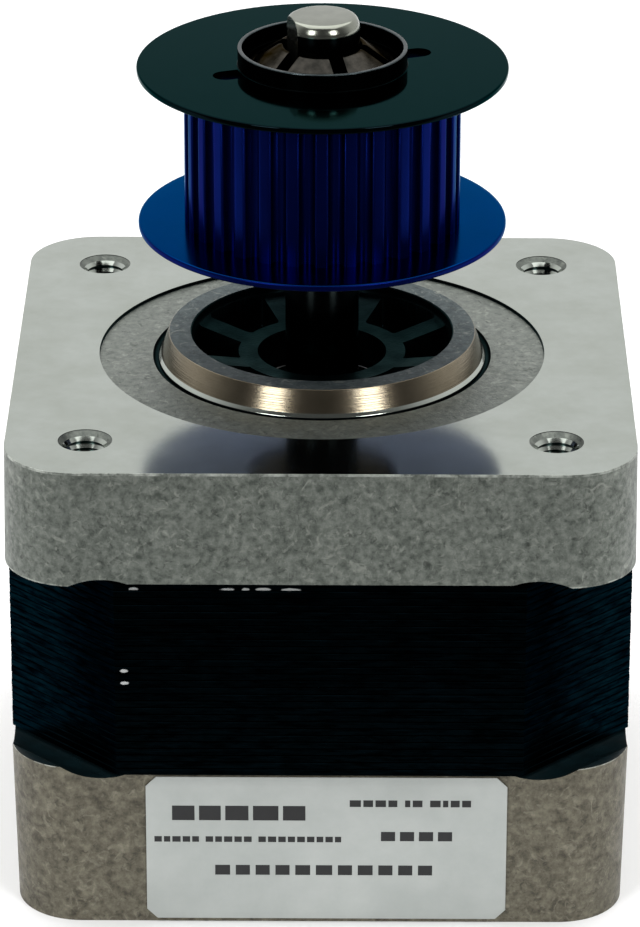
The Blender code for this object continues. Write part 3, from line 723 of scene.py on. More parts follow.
@dataclass(frozen=True)
class ChippedPaint(Finish):
    """Thin paint over sheet edges, with nicks where the bright steel shows.

    A band of chance chips runs at one height, and single nicks sit where they are listed.
    """

    chip_hex: str = "#D5D8D7"
    chip_mm: float = 1.1
    chip_level: float = 0.66
    band: Point2 = (24.95, 25.3)
    nicks: tuple[Point3, ...] = ()  # x, z and half the width of each
    nick_y: float = -20.85
    nick_deep: float = 0.6              # half their extent into the stack
    nick_half: float = 0.12             # half their height
    ragged: float = 1.5                 # how far the noise eats into a nick's outline

    def streaked(self, tree: Tree, coords: Socket, parts: Node,
                 base: Socket) -> Socket:
        """Streak the paint along the sheets, and lighten it from the front towards the sides as a
        painted sheen.

        Args:
            tree: the material's nodes.
            coords: the coordinates that the patterns read.
            parts: the same coordinates, split.
            base: the paint's colour.

        Returns:
            The streaked colour.
        """
        drawn = add_node(tree, "ShaderNodeVectorMath", {"operation": "MULTIPLY"},
                         {0: coords, 1: (1.0, 1.0, 7.0)})
        noise = add_node(tree, "ShaderNodeTexNoise",
                         inputs={"Vector": drawn.outputs[0], "Scale": per_mm(1.8),
                                 "Detail": 4.0, "Roughness": 0.7})
        streaks = add_node(tree, "ShaderNodeMapRange",
                           inputs={"Value": noise.outputs["Fac"], "From Min": 0.35,
                                   "From Max": 0.62, "To Min": 0.15, "To Max": 1.35})
        side, front = (add_node(tree, "ShaderNodeMath", {"operation": "ABSOLUTE"},
                                {0: parts.outputs[axis]}) for axis in ("X", "Y"))
        # painted sheen: the paint grows lighter from the front and back towards the sides
        lead = add_node(tree, "ShaderNodeMath", {"operation": "SUBTRACT"},
                        {0: side.outputs[0], 1: front.outputs[0]})
        sheen_gain = add_node(tree, "ShaderNodeMapRange", {"interpolation_type": "SMOOTHSTEP"},
                        {"Value": lead.outputs[0], "From Min": -6.0 * MM, "From Max": 5.0 * MM,
                         "To Min": 0.7, "To Max": 2.4})
        gain = add_node(tree, "ShaderNodeMath", {"operation": "MULTIPLY"},
                        {0: streaks.outputs["Result"], 1: sheen_gain.outputs["Result"]})
        scaled = add_node(tree, "ShaderNodeVectorMath", {"operation": "SCALE"},
                          {0: base, "Scale": gain.outputs[0]})
        return scaled.outputs[0]

    def colour(self, tree: Tree, coords: Socket) -> Socket:
        """Give the paint's colour with its chips."""
        parts = add_node(tree, "ShaderNodeSeparateXYZ", inputs={"Vector": coords})
        base = self.streaked(tree, coords, parts, super().colour(tree, coords))
        noise = add_node(tree, "ShaderNodeTexNoise",
                         inputs={"Vector": coords, "Scale": per_mm(self.chip_mm),
                                 "Detail": 3.0, "Roughness": 0.7})
        low, high = (v * MM for v in self.band)
        in_band = add_node(tree, "ShaderNodeMath", {"operation": "COMPARE"},
                           {0: parts.outputs["Z"], 1: (low + high) / 2, 2: (high - low) / 2})
        chips = add_node(tree, "ShaderNodeMapRange",
                         inputs={"Value": noise.outputs["Fac"], "From Min": self.chip_level,
                                 "From Max": self.chip_level + 0.03})
        bare = add_node(tree, "ShaderNodeMath", {"operation": "MULTIPLY"},
                        {0: chips.outputs["Result"], 1: in_band.outputs[0]})
        for x, z, half in self.nicks:
            place = (x * MM, self.nick_y * MM, z * MM)
            size = (half * MM, self.nick_deep * MM, self.nick_half * MM)
            away = add_node(tree, "ShaderNodeVectorMath", {"operation": "SUBTRACT"},
                            {0: coords, 1: place})
            scaled = add_node(tree, "ShaderNodeVectorMath", {"operation": "DIVIDE"},
                              {0: away.outputs[0], 1: size})
            length = add_node(tree, "ShaderNodeVectorMath", {"operation": "LENGTH"},
                              {0: scaled.outputs[0]})
            ragged = add_node(tree, "ShaderNodeMath", {"operation": "MULTIPLY_ADD"},
                              {0: noise.outputs["Fac"], 1: self.ragged,
                               2: length.outputs["Value"]})
            inside = add_node(tree, "ShaderNodeMapRange",
                              inputs={"Value": ragged.outputs[0], "From Min": self.ragged + 0.3,
                                      "From Max": self.ragged})
            bare = add_node(tree, "ShaderNodeMath", {"operation": "MAXIMUM"},
                            {0: bare.outputs[0], 1: inside.outputs["Result"]})
        mix = add_node(tree, "ShaderNodeMix", {"data_type": "RGBA"},
                       {"Factor": bare.outputs[0], 6: base, 7: linear(self.chip_hex)})
        return mix.outputs[2]


class Finishes:
    """Every finish of the motor and the pulley, built once."""

    def __init__(self) -> None:
        """Build the materials."""
        # die-cast aluminium, shot-blasted: dull grey skin with darker flow blotches, and painted
        # highlights along the face's edge and the lower edge
        self.front_cast = CastSkin("die_cast_aluminium_front", "#474D47", "#7E837C", 0.5,
                                   (0.42, 0.58), 0.5, 0.16, 0.03, contrast=0.32,
                                   highlit_edges=((33.16, 0.14), (25.14, 0.07))).build()
        # the same casting in a warmer batch on the rear cap, with a painted highlight along its top edge
        self.rear_cast = CastSkin("die_cast_aluminium_rear", "#423E34", "#736F60", 0.5,
                                  (0.42, 0.58), 0.6, 0.16, 0.03, contrast=0.32,
                                  pit_hex="#2E2B25", scuff_hex="#8F8B7C",
                                  highlit_edges=((11.62, 0.04),)).build()
        # rough floor of the cast recess, never machined
        self.recess = CastSkin("die_cast_recess", "#555A56", "#80857E", 0.85, (0.4, 0.55),
                               0.5, 0.18, 0.03).build()
        # rim of the register as cast: darker and bluer than the casting, painted shade from the pulley
        # above it
        self.rim = CastSkin("die_cast_rim_painted_shade", "#303B3F", "#5F6969", 0.8, (0.5, 0.6),
                            0.5, 0.18, 0.03).build()
        # the casting's inside, recess walls and hole walls: dark and matt, painted shade where the
        # pulley and the hollows keep the light off
        self.inside = Finish("die_cast_painted_shade", "#030708", "#0D1719", 0.95, (0.3, 0.5),
                             0.7, 0.2, 0.02, edge_tint="#BCC8C8", specular=0.2).build()
        # fly-cut mounting face: smooth and bright, with a faint straight lay
        self.milled = ToolMarked("fly_cut_aluminium", "#9FA59C", "#B0B6B0", 1.0, (0.09, 0.15),
                                 4.0, 0.05, 0.0005).build()
        # lathe-turned register: fine rings smear the highlights along the axis
        self.turned = ToolMarked("turned_aluminium", "#716958", "#887F6E", 1.0, (0.15, 0.21),
                                 3.0, 0.06, 0.009, lay=Lay.ROUND_Z).build()
        # black varnish on stamped electrical steel, with bright nicks along the sheet edges and a
        # painted sheen that lightens it towards the sides
        nicks = ((-12.95, 18.95, 0.27), (-12.9, 18.05, 0.3), (-12.2, 24.92, 0.3),
                 (-6.1, 24.92, 0.5), (-4.85, 24.92, 0.28), (-3.75, 24.92, 0.5),
                 (-1.9, 24.9, 0.62))
        self.stack = ChippedPaint("varnished_lamination_steel", "#020709", "#030B0F", 1.0,
                                  (0.25, 0.35), 2.0, 0.08, 0.002, edge_tint="#A8B0B4",
                                  nicks=nicks).build()
        # the same varnish pooled on the rear cap's ledges, glossy and a little green
        # near-black, glossy and a little green, on the rear cap's seat and on the ledges beside the
        # stack's cut corners
        self.ledge_black = Finish("rear_ledge_near_black", "#040A0B", "#0B1B1F", 0.0, (0.25, 0.4),
                             1.2, 0.2, 0.004, specular=0.15).build()
        # blue anodised aluminium drum: dark metal seen through a saturated layer
        self.drum = ToolMarked("blue_anodised_drum", "#020A40", "#030F4C", 0.93,
                               (0.28, 0.38), 5.0, 0.08, 0.0005, edge_tint="#89B8DD",
                               lay=Lay.ROUND_Z).build()
        # the same anodising on the flat face of the flange, painted lighter where light falls on the
        # flange's upper face
        self.lit_blue_flange = ToolMarked("blue_anodised_flange_painted_light", "#022554", "#02295F", 1.0,
                                      (0.14, 0.2), 5.0, 0.08, 0.0003, edge_tint="#AFC8E5",
                                      lay=Lay.ROUND_Z).build()
        # its underside, unpolished, painted paler: painted light from the bright face below it
        self.lit_blue_under = ToolMarked("blue_underside_painted_light", "#3C4766", "#4D597A", 1.0,
                                     (0.3, 0.4), 5.0, 0.08, 0.001, lay=Lay.ROUND_Z).build()
        # glossy black flange, a little green where it mirrors the light
        self.black = Finish("black_anodised_flange", "#050B0D", "#070F12", 1.0, (0.05, 0.09),
                            1.5, 0.2, 0.0006, edge_tint="#B9C4C4").build()
        # the collar's wall, dead black: a darker, duller copy of the flange's black, painted shade on
        # the upright wall
        self.collar = Finish("black_collar_painted_shade", "#010202", "#030404", 1.0, (0.3, 0.4),
                             2.0, 0.2, 0.0006, edge_tint="#BCBCBC").build()
        # the collar's rim, painted grey as a highlight
        self.collar_rim = Finish("collar_rim_painted_highlight", "#1B2224", "#434B4D", 1.0, (0.25, 0.4),
                                 1.2, 0.2, 0.001).build()
        # burnished split hub: brown-grey metal with strong highlights
        self.hub = Finish("burnished_hub_steel", "#111211", "#373531", 1.0, (0.12, 0.25),
                          0.9, 0.15, 0.002, edge_tint="#B4B1AD").build()
        # ground shaft steel: bright with rings from the wheel
        self.ground = ToolMarked("ground_shaft_steel", "#777A71", "#92958B", 1.0, (0.14, 0.22),
                                 3.0, 0.04, 0.0006, lay=Lay.ROUND_Z).build()
        # the same shaft under the pulley, painted dark: painted shade and a painted dark reflection of
        # the cap's inside
        self.shaded_shaft = ToolMarked("shaft_steel_painted_shade", "#0C0F10", "#15191A", 1.0, (0.14, 0.22),
                                3.0, 0.04, 0.0006, edge_tint="#BCC2C4",
                                lay=Lay.ROUND_Z).build()
        # hardened bearing steel, polished
        self.bearing = ToolMarked("polished_bearing_steel", "#9A9A98", "#B5B5B2", 1.0,
                                  (0.1, 0.2), 4.0, 0.05, 0.0004, lay=Lay.ROUND_Z).build()
        # silver polyester film with a satin face
        self.film = Finish("silver_polyester_label", "#A0A5A2", "#B4B8B5", 0.35, (0.32, 0.4),
                           6.0, 0.4, 0.0008).build()
        # black thermal-transfer print
        self.ink = Finish("black_label_print", "#0B0C0D", "#141517", 0.0, (0.4, 0.5),
                          1.0, 0.1, 0.001).build()
        # zinc plate with a light yellow-blue cast
        self.zinc = Finish("zinc_plated_steel", "#8F9290", "#B9BCB8", 1.0, (0.2, 0.32),
                           1.2, 0.12, 0.001).build()
        # natural nylon of the header
        self.header = Finish("natural_nylon_header", "#D4D0C2", "#E2DFD3", 0.0, (0.38, 0.5),
                             3.0, 0.25, 0.002).build()
        # tin over brass: bright, with a little warmth left
        self.tinned = Finish("tinned_brass_pin", "#B5AE97", "#CBC6B4", 1.0, (0.18, 0.3),
                             0.8, 0.08, 0.0008).build()
        # glass-filled nylon of the coil insulators: pale cream and matt
        self.insulator = Finish("moulded_nylon_insulator", "#C9C3B0", "#DAD5C6", 0.0,
                                (0.4, 0.55), 3.0, 0.3, 0.003).build()
        # enamelled copper, drawn as turns one wire apart
        self.copper = ToolMarked("enamelled_copper_wire", "#8A3F18", "#B05A26", 0.8,
                                 (0.22, 0.34), 2.0, 0.3, 0.05, lay=Lay.ROUND_Z).build()
        # green lacquer over copper: dark and even, with a soft gloss
        self.board = Finish("green_solder_mask", "#0B3B1C", "#135029", 0.0, (0.25, 0.35),
                            2.0, 0.3, 0.002).build()
        # sintered magnet: nearly black, granular and dull
        self.magnet = Finish("sintered_magnet", "#1B1B1D", "#2B2B2E", 0.6, (0.4, 0.55),
                             0.8, 0.1, 0.003).build()
        # rotor sheets ground on their outside: mid grey with rings
        self.rotor_steel = ToolMarked("ground_lamination_steel", "#5B5E61", "#7C7F82", 1.0,
                                      (0.3, 0.42), 1.5, 0.5, 0.01, lay=Lay.ROUND_Z).build()
        # unfilled nylon of the ball cages: warm brown and waxy
        self.cage = Finish("moulded_cage_nylon", "#A8874B", "#C29E5C", 0.0, (0.4, 0.5),
                           1.5, 0.15, 0.002).build()


# Sub-assemblies ------------------------------------------------------------------------------------
@dataclass
class Datums:
    """Heights and widths that several sub-assemblies share, read from the frame."""

    face: float = field(init=False)
    cap_half: float = field(init=False)
    pilot_top: float = field(init=False)
    stack_low: float = field(init=False)
    stack_high: float = field(init=False)
    stack_half: float = field(init=False)
    front_seat: float = field(init=False)
    rear_seat: float = field(init=False)
    stack_leg: float = 7.3              # legs of the stack's cut corners
    hole_at: float = 15.5
    joint_gap: float = 0.1              # a cap's seat stands this far off the stack
    corner_gap: float = 0.3             # the lips stand this far off the cut corners
    relief_offset: float = 0.6
    relief_half: float = 1.2
    relief_depth: float = 0.3
    bearing_r: float = 8.15             # bearing seats
    housing_r: float = 10.1             # outside of the wall round a bearing
    room_r: float = 18.3                # room for the coil ends

    def __post_init__(self) -> None:
        """Read the sizes."""
        mounts = {m["name"]: m for m in frame["record"]["mounts"]}
        self.face = mounts["mounting_face"]["pos_m"][2] / MM
        cap_high = node_box("front_cap")[1]
        self.cap_half = cap_high.x
        self.pilot_top = cap_high.z
        low, high = node_box("stator_core")
        self.stack_low = low.z
        self.stack_high = high.z
        self.stack_half = high.x
        self.front_seat = self.stack_high + self.joint_gap
        self.rear_seat = self.stack_low - self.joint_gap

    def holes(self) -> list[Point2]:
        """Give the four screw positions."""
        return [(self.hole_at * a, self.hole_at * b) for a in (-1, 1) for b in (-1, 1)]

    def seat_cutters(self, seat: float, upward: int) -> list[Object]:
        """Make the cutters of a cap's seat for the stack.

        Args:
            seat: height of the seat.
            upward: 1 where the cap is below the stack, -1 where it is above.

        Returns:
            The prism that leaves the four corners as lips, and the four relief grooves.
        """
        far = seat + OVERCUT * upward
        reach = self.cap_half + OVERCUT
        leg = 2 * reach - (2 * self.stack_half - self.stack_leg) - self.corner_gap
        tools = [extruded("seat", [octagon(reach, leg)], min(seat, far), max(seat, far))]
        radius = (self.relief_half ** 2 + self.relief_depth ** 2) / (2 * self.relief_depth)
        across = (2 * self.stack_half - self.stack_leg) / math.sqrt(2.0) + self.relief_offset
        height = seat + upward * (radius - self.relief_depth)
        long = 12.0
        stand = Matrix.Rotation(math.radians(90.0), 4, "X")
        for k in range(4):
            groove = extruded(f"relief_{k}", [circle(radius, RING_STEPS, (across, height))],
                              -long, long)
            groove.data.transform(about_z(45.0 + 90.0 * k) @ stand)
            tools.append(groove)
        return tools


def draft(obj: Object, upper: bool, ratio: float) -> None:
    """Narrow the upper or the lower end of a block.

    Args:
        obj: the block.
        upper: whether its upper end is the narrower one.
        ratio: the narrow end's width over the wide end's.
    """
    middle = sum(v.co.z for v in obj.data.vertices) / len(obj.data.vertices)
    for vertex in obj.data.vertices:
        if (vertex.co.z > middle) == upper:
            vertex.co.xy *= ratio


@dataclass
class FrontCap:
    """Cast front cap: milled face, turned register with ribs, bearing housing, tapped holes."""

    datums: Datums
    finishes: Finishes
    corner: float = 4.75
    edge: float = 0.12
    face_half: float = 20.8
    pilot_r: float = 11.0
    pilot_top_r: float = 10.45
    foot_r: float = 11.17
    recess_r: float = 15.2
    recess_depth: float = 0.25
    groove_width: float = 0.55
    groove_depth: float = 0.3
    inner_r: float = 8.9
    hub_r: float = 5.7
    hub_hole_r: float = 4.4
    rib_rise: float = 0.7
    ribs: int = 8
    rib_half: float = 0.85
    hub_drop: float = 0.06              # the hub ring lies this far below the face
    seat_top: float = 30.9
    room_roof: float = 29.4
    pocket_floor: float = 31.6
    thread_pitch: float = 0.5
    thread_r: float = 1.5
    thread_depth: float = 0.22
    mouth: float = 0.3                  # width of the chamfer at a hole's mouth

    def blank(self) -> Object:
        """Make the drafted square casting with its rounded edges and hanging corners."""
        outline = rounded_square(self.datums.cap_half, self.corner)
        base = node_box("front_cap")[0].z
        cap = extruded("front_cap_cast", [outline], base, self.datums.face)
        draft(cap, True, self.face_half / self.datums.cap_half)
        return shape(bevel(cap, self.edge), self.datums.seat_cutters(self.datums.front_seat, -1))

    def register(self) -> Object:
        """Make the turned register that stands on the face, with its lead-in cone."""
        top = self.datums.pilot_top
        face = self.datums.face
        root = face - 2.0
        profile = round_profile([(0.0, top, 0.0), (self.pilot_top_r, top, 0.06),
                                 (self.pilot_r - 0.02, face - 0.02, 0.03),
                                 (self.foot_r, face - self.recess_depth + 0.01, 0.03),
                                 (self.foot_r, root, 0.0), (0.0, root, 0.0)])
        return turned("register", profile)

    def recess(self) -> Object:
        """Make the cutter of the cast recess and the round groove at the register's foot."""
        over = self.datums.face + 3.0
        floor = self.datums.face - self.recess_depth
        half = self.groove_width / 2
        edge = 0.03
        groove = [(self.pilot_r + half + x, floor + y * self.groove_depth / half)
                  for x, y in arc((0.0, 0.0), half, 0.0, -180.0, 12)]
        return turned("recess", [(0.0, over), (self.recess_r, over), (self.recess_r, floor + edge),
                                 (self.recess_r - edge, floor)] + groove
                      + [(self.pilot_r - 0.3, floor), (0.0, floor)])

    def bore(self) -> Object:
        """Make the cutter of the register's inside, the hub hole and the bearing seat."""
        over = self.datums.pilot_top + 3.0
        under = self.datums.stack_high - OVERCUT
        ring = self.datums.face - self.hub_drop
        edge = 0.08
        corners = [(0.0, over, 0.0), (self.inner_r + edge, over, 0.0),
                   (self.inner_r + edge, self.datums.pilot_top, 0.0),
                   (self.inner_r, self.datums.pilot_top - edge, 0.0),
                   (self.inner_r, self.datums.face + self.rib_rise, 0.3),
                   (self.hub_r, ring, 0.3), (self.hub_hole_r, ring, 0.0),
                   (self.hub_hole_r, self.seat_top, 0.0),
                   (self.datums.bearing_r, self.seat_top, 0.0),
                   (self.datums.bearing_r, under, 0.0), (0.0, under, 0.0)]
        return turned("bore", round_profile(corners))

    def cavity(self) -> Object:
        """Make the cutter of the room for the coil ends."""
        base = self.datums.stack_high + 0.4
        under = self.datums.stack_high - OVERCUT
        wall_r = self.datums.housing_r
        room_r = self.datums.room_r
        return turned("cavity", [(0.0, base), (wall_r, base), (wall_r, self.room_roof),
                                 (room_r, self.room_roof), (room_r, under), (0.0, under)])

    def pockets(self) -> list[Object]:
        """Make the cutters of the pockets between the ribs."""
        outer = self.inner_r - 0.05
        pitch = 360.0 / self.ribs
        far = math.degrees(math.asin(self.rib_half / outer))
        near = math.degrees(math.asin(self.rib_half / self.hub_r))
        outline = arc((0.0, 0.0), outer, far, pitch - far, 16)
        outline += arc((0.0, 0.0), self.hub_r, pitch - near, near, 8)
        tools = []
        for k in range(self.ribs):
            points = turn_points(outline, pitch * (k + 0.5))
            tool = extruded(f"pocket_{k}", [points], self.pocket_floor, self.datums.face + 4.0)
            tools.append(bevel(tool, 0.25, 3, 50.0))
        return tools

    def tapped_hole(self, name: str, x: float, y: float) -> Object:
        """Make the cutter of one tapped hole, with its mouth chamfer and thread ridges."""
        face = self.datums.face
        over = face + 1.0
        under = self.datums.stack_high - OVERCUT
        land = 0.05
        top = face - land - self.mouth
        wide_r = self.thread_r + self.mouth
        profile = [(0.0, over), (wide_r, over), (wide_r, face - land)]
        turns = int(4.5 / self.thread_pitch)
        for k in range(turns):
            height = top - self.thread_pitch * k
            profile.append((self.thread_r, height))
            profile.append((self.thread_r - self.thread_depth, height - self.thread_pitch / 2))
        profile += [(self.thread_r, top - self.thread_pitch * turns), (self.thread_r, under),
                    (0.0, under)]
        return turned(name, profile, SMALL_STEPS, (x, y, 0.0))

    def slot_of(self, centre: Vector, normal: Vector) -> int:
        """Choose a face's finish: cast 0, milled 1, turned 2, rough 3, inside 4, rim 5; 4 and 5 carry
        painted shade.

        In a tapped hole the mouth is rough, the threads' upper flanks are milled and the rest takes the
        inside's painted shade.
        """
        radius = math.hypot(centre.x, centre.y)
        face = self.datums.face
        floor = face - self.recess_depth
        if min(math.hypot(centre.x - x, centre.y - y) for x, y in self.datums.holes()) < 2.0:
            if normal.z < 0.1:
                return 4
            return 3 if centre.z > face - 0.34 else 1
        if normal.z > 0.99:
            for height, slot in ((face, 1), (floor, 3), (self.datums.pilot_top, 5)):
                if abs(centre.z - height) < 0.01:
                    return slot
        if radius > self.recess_r + 0.1:
            return 0
        if self.pilot_r - 0.02 < radius < self.foot_r + 0.01 and centre.z > floor - 0.02:
            return 1
        # every other face, on the recess wall, the groove's outer half and the register's inside, takes
        # the painted shade 4
        return 2 if self.inner_r + 0.1 < radius < self.pilot_r else 4

    def build(self) -> Object:
        """Build and dress the cap."""
        cap = shape(self.blank(), [self.recess()])
        cap = shape(cap, [self.register()], "UNION")
        cap = shape(cap, [self.cavity(), self.bore()] + self.pockets())
        holes = [self.tapped_hole(f"hole_{k}", x, y)
                 for k, (x, y) in enumerate(self.datums.holes())]
        cap = weigh_normals(shape(cap, holes))
        use = self.finishes
        assign(cap, [use.front_cast, use.milled, use.turned, use.recess, use.inside, use.rim],
               self.slot_of)
        return deliver(cap, Body.MOTOR, "front_cast_aluminium", "front_cap")


@dataclass
class RearCap:
    """Cast rear cap with drafted sides, sunk screw seats and the connector's window."""

    datums: Datums
    finishes: Finishes
    corner: float = 4.5
    base_half: float = 20.45
    edge: float = 0.15
    room_floor: float = 2.5
    bearing_floor: float = 4.0
    shaft_hole_r: float = 3.2
    screw_hole_r: float = 1.65
    screw_seat_r: float = 3.2
    screw_floor: float = 2.6
    window: tuple[Point3, Point3] = ((-7.95, 15.0, 2.55), (7.95, 25.0, 7.1))

    def slot_of(self, centre: Vector, normal: Vector) -> int:
        """Choose a face's finish: cast 0, or the near-black ledge finish 1 on the seat and its lips."""
        return int(centre.z > self.datums.rear_seat - 0.5 and normal.z > 0.85)

    def stepped(self, over: float, upper_r: float, step: float, lower_r: float,
                mouth: float) -> list[Point2]:
        """Give the profile of a cutter with two radii and a chamfered mouth in the underside.

        Args:
            over: height of its top.
            upper_r: radius above the step.
            step: height of the step.
            lower_r: radius below the step.
            mouth: width of the chamfer.

        Returns:
            The profile, from the top down.
        """
        under = -1.0
        return [(0.0, over), (upper_r, over), (upper_r, step), (lower_r, step), (lower_r, mouth),
                (lower_r + mouth, 0.0), (lower_r + mouth, under), (0.0, under)]

    def build(self) -> Object:
        """Build and dress the cap."""
        high = node_box("rear_cap")[1]
        seam = self.datums.rear_seat
        outline = rounded_square(high.x, self.corner)
        cap = extruded("rear_cap_cast", [outline], 0.0, high.z)
        draft(cap, False, self.base_half / high.x)
        cap = shape(bevel(cap, self.edge), self.datums.seat_cutters(seam, 1))
        over = seam + OVERCUT
        rim = seam - 0.5
        room_r = self.datums.room_r
        wall_r = self.datums.housing_r
        cavity = turned("cavity", [(0.0, over), (room_r, over), (room_r, self.room_floor),
                                   (wall_r, self.room_floor), (wall_r, rim), (0.0, rim)])
        bore = turned("bore", self.stepped(over, self.datums.bearing_r, self.bearing_floor,
                                           self.shaft_hole_r, 0.25))
        seat = self.stepped(over, self.screw_hole_r, self.screw_floor, self.screw_seat_r, 0.2)
        seats = [turned(f"seat_{k}", seat, SMALL_STEPS, (x, y, 0.0))
                 for k, (x, y) in enumerate(self.datums.holes())]
        window = bevel(box("window", *self.window), 0.3)
        cap = weigh_normals(shape(cap, [cavity, bore, window] + seats))
        assign(cap, [self.finishes.rear_cast, self.finishes.ledge_black], self.slot_of)
        return deliver(cap, Body.MOTOR, "rear_cast_aluminium", "rear_cap")


@dataclass
class Stack:
    """Pile of stamped stator sheets with cut corners, eight poles and four screw holes."""

    datums: Datums
    finishes: Finishes
    sheets: int = 28
    slot_r: float = 17.2
    pole_half: float = 2.1
    poles: int = 8
    shoe_r: float = 12.5
    shoe_half: float = 19.6             # half the angle of a pole's shoe
    shoe_slope: Point2 = (-0.2, 0.3)    # rise of the shoe's back, at its tips and at the pole
    bore_r: float = 11.5
    sheet_gap: float = 0.05
    stray: float = 0.012                # how far a sheet lies off its place
    hole_r: float = 1.65

    def opening(self) -> list[Point2]:
        """Give the inner outline of a sheet: poles with their shoes and the slots between."""
        points = []
        pitch = 360.0 / self.poles
        tip_r, root_r = (self.shoe_r + rise for rise in self.shoe_slope)
        near = math.degrees(math.asin(self.pole_half / root_r))
        far = math.degrees(math.asin(self.pole_half / self.slot_r))
        for k in range(self.poles):
            middle = pitch * k
            start = middle - self.shoe_half
            end = middle + self.shoe_half
            points += [polar(self.slot_r, middle - far), polar(root_r, middle - near),
                       polar(tip_r, start)]
            points += arc((0.0, 0.0), self.bore_r, start, end, 8)
            points += [polar(tip_r, end), polar(root_r, middle + near)]
            points += arc((0.0, 0.0), self.slot_r, middle + far, middle + pitch - far, 4)[:-1]
        return points

    def build(self) -> Object:
        """Build and dress the stack."""
        low = self.datums.stack_low - self.datums.joint_gap
        high = self.datums.stack_high + self.datums.joint_gap
        pitch = (high - low) / self.sheets
        spare = self.sheet_gap / 2
        shift = self.stray * MM
        half = self.datums.stack_half - self.stray
        loops = [octagon(half, self.datums.stack_leg), self.opening()]
        loops += [circle(self.hole_r, 16, at) for at in self.datums.holes()]
        sheet = extruded("stator_stack", loops, low + spare, low + pitch - spare)
        sheet = bevel(sheet, 0.04, 1, 60.0)
        stack = pile_tree().run(sheet, self.finishes.stack,
                                {"Count": self.sheets, "Pitch": (0.0, 0.0, pitch * MM),
                                 "Shift": (shift, shift, 0.0), "Seed": 11})
        return deliver(stack, Body.MOTOR, "black_lamination_steel", "stator_core")


@dataclass
class Label:
    """Silver label on the rear cap, printed with rows of plain dashes instead of words."""

    finishes: Finishes
    corner_cut: float = 0.7
    thickness: float = 0.1
    print_thickness: float = 0.02

    def rows(self) -> list[tuple[float, float, float, float, list[float]]]:
        """Give each row: left end, height of its middle, dash height, gap, and dash widths.

        A width of 0 stands for the wider gap between two groups of dashes.
        """
        bold = [1.5, 1.45, 1.55, 1.7, 1.5]
        tiny = [0.5, 0.42, 0.55, 0.5, 0.45, 0.0, 0.5, 0.45, 0.55, 0.5, 0.52, 0.0, 0.5, 0.55, 0.5,
                0.48, 0.52, 0.5, 0.45, 0.5, 0.42]
        small = [0.75, 0.65, 0.7, 0.6, 0.0, 0.35, 0.65, 0.0, 0.7, 0.35, 0.6, 0.6]
        middle = [0.95, 0.95, 0.95, 0.95]
        wide = [1.0, 0.95, 0.95, 0.95, 1.0, 1.1, 0.95, 1.0, 0.95, 0.95, 0.95]
        return [(1.75, 8.2, 1.3, 0.3, bold), (0.55, 6.1, 0.42, 0.14, tiny),
                (13.6, 8.85, 0.5, 0.16, small), (15.7, 6.35, 0.7, 0.32, middle),
                (4.6, 3.75, 0.75, 0.38, wide)]

    def marks(self, stand: Matrix) -> Object:
        """Build and dress the print.

        Args:
            stand: the move that stands the flat label up on the cap.

        Returns:
            The rows of dashes as one piece.
        """
        centres = []
        sizes = []
        for left, middle, tall, gap, widths in self.rows():
            at = left
            for wide in widths:
                if wide > 0.0:
                    centres.append((at + wide / 2, middle, self.thickness))
                    sizes += [wide * MM, 1.0, tall * MM]
                    at += wide + gap
                else:
                    at += 2.2 * gap
        mesh = bpy.data.meshes.new("rating_label_print")
        mesh.from_pydata([stand @ (Vector(c) * MM) for c in centres], [], [])
        attribute = mesh.attributes.new("dash_size", "FLOAT_VECTOR", "POINT")
        attribute.data.foreach_set("vector", sizes)
        marks = link(bpy.data.objects.new("rating_label_print", mesh))
        return dash_tree().run(marks, self.finishes.ink, {"Thickness": self.print_thickness * MM})

    def build(self) -> None:
        """Build and dress the label and its print."""
        low, high = node_box("rating_label")
        width = high.x - low.x
        height = high.z - low.z
        cut = self.corner_cut
        outline = [(width, cut), (width, height - cut), (width - cut, height), (cut, height),
                   (0.0, height - cut), (0.0, cut), (cut, 0.0), (width - cut, 0.0)]
        sheet = extruded("rating_label_film", [outline], 0.0, self.thickness)
        sheet = bevel(sheet, 0.03, 2, 60.0)
        lean = math.atan2(high.y - low.y - self.thickness, height)
        stand = (Matrix.Translation(Vector((low.x, high.y, low.z)) * MM)
                 @ Matrix.Rotation(math.radians(90.0) + lean, 4, "X"))
        sheet.data.transform(stand)
        assign(sheet, [self.finishes.film])
        deliver(sheet, Body.MOTOR, "silver_label", "rating_label")
        deliver(self.marks(stand), Body.MOTOR, "silver_label")


@dataclass
class Screws:
    """Four cross-head screws sunk in the rear cap, made as one set."""

    datums: Datums
    finishes: Finishes
    head_r: float = 2.75
    head_top: float = 2.4
    head_side: float = 1.2              # where the head starts to round over
    crown_r: float = 1.85
    shank_r: float = 1.3
    blade: Point3 = (1.45, 0.32, 1.55)  # half length, half width and depth of the cross

    def build(self) -> Object:
        """Build and dress the screws."""
        low, high = node_box("through_screw_4")
        tip = 0.3
        corners = [(0.0, high.z, 0.0), (self.shank_r - tip, high.z, 0.0),
                   (self.shank_r, high.z - tip, 0.0), (self.shank_r, self.head_top, 0.0),
                   (self.head_r, self.head_top, 0.15), (self.head_r, self.head_side, 0.5),
                   (self.crown_r, low.z, 0.5), (0.0, low.z, 0.0)]
        at = self.datums.hole_at
        screw = turned("through_screws", round_profile(corners, 5), SMALL_STEPS)
        cross = []
        far, half, depth = self.blade
        for k in range(2):
            blade = bevel(box(f"blade_{k}", (-far, -half, -1.0), (far, half, depth)), 0.12, 2)
            blade.data.transform(about_z(90.0 * k))
            cross.append(blade)
        screw = shape(screw, cross)
        screw.data.transform(Matrix.Translation((at * MM, at * MM, 0.0)))
        screws = polar_tree().run(screw, self.finishes.zinc, {"Count": 4, "Start": 0.0})
        nodes = [f"through_screw_{k}" for k in range(1, 5)]
        return deliver(screws, Body.MOTOR, "zinc_plated_screw", *nodes)


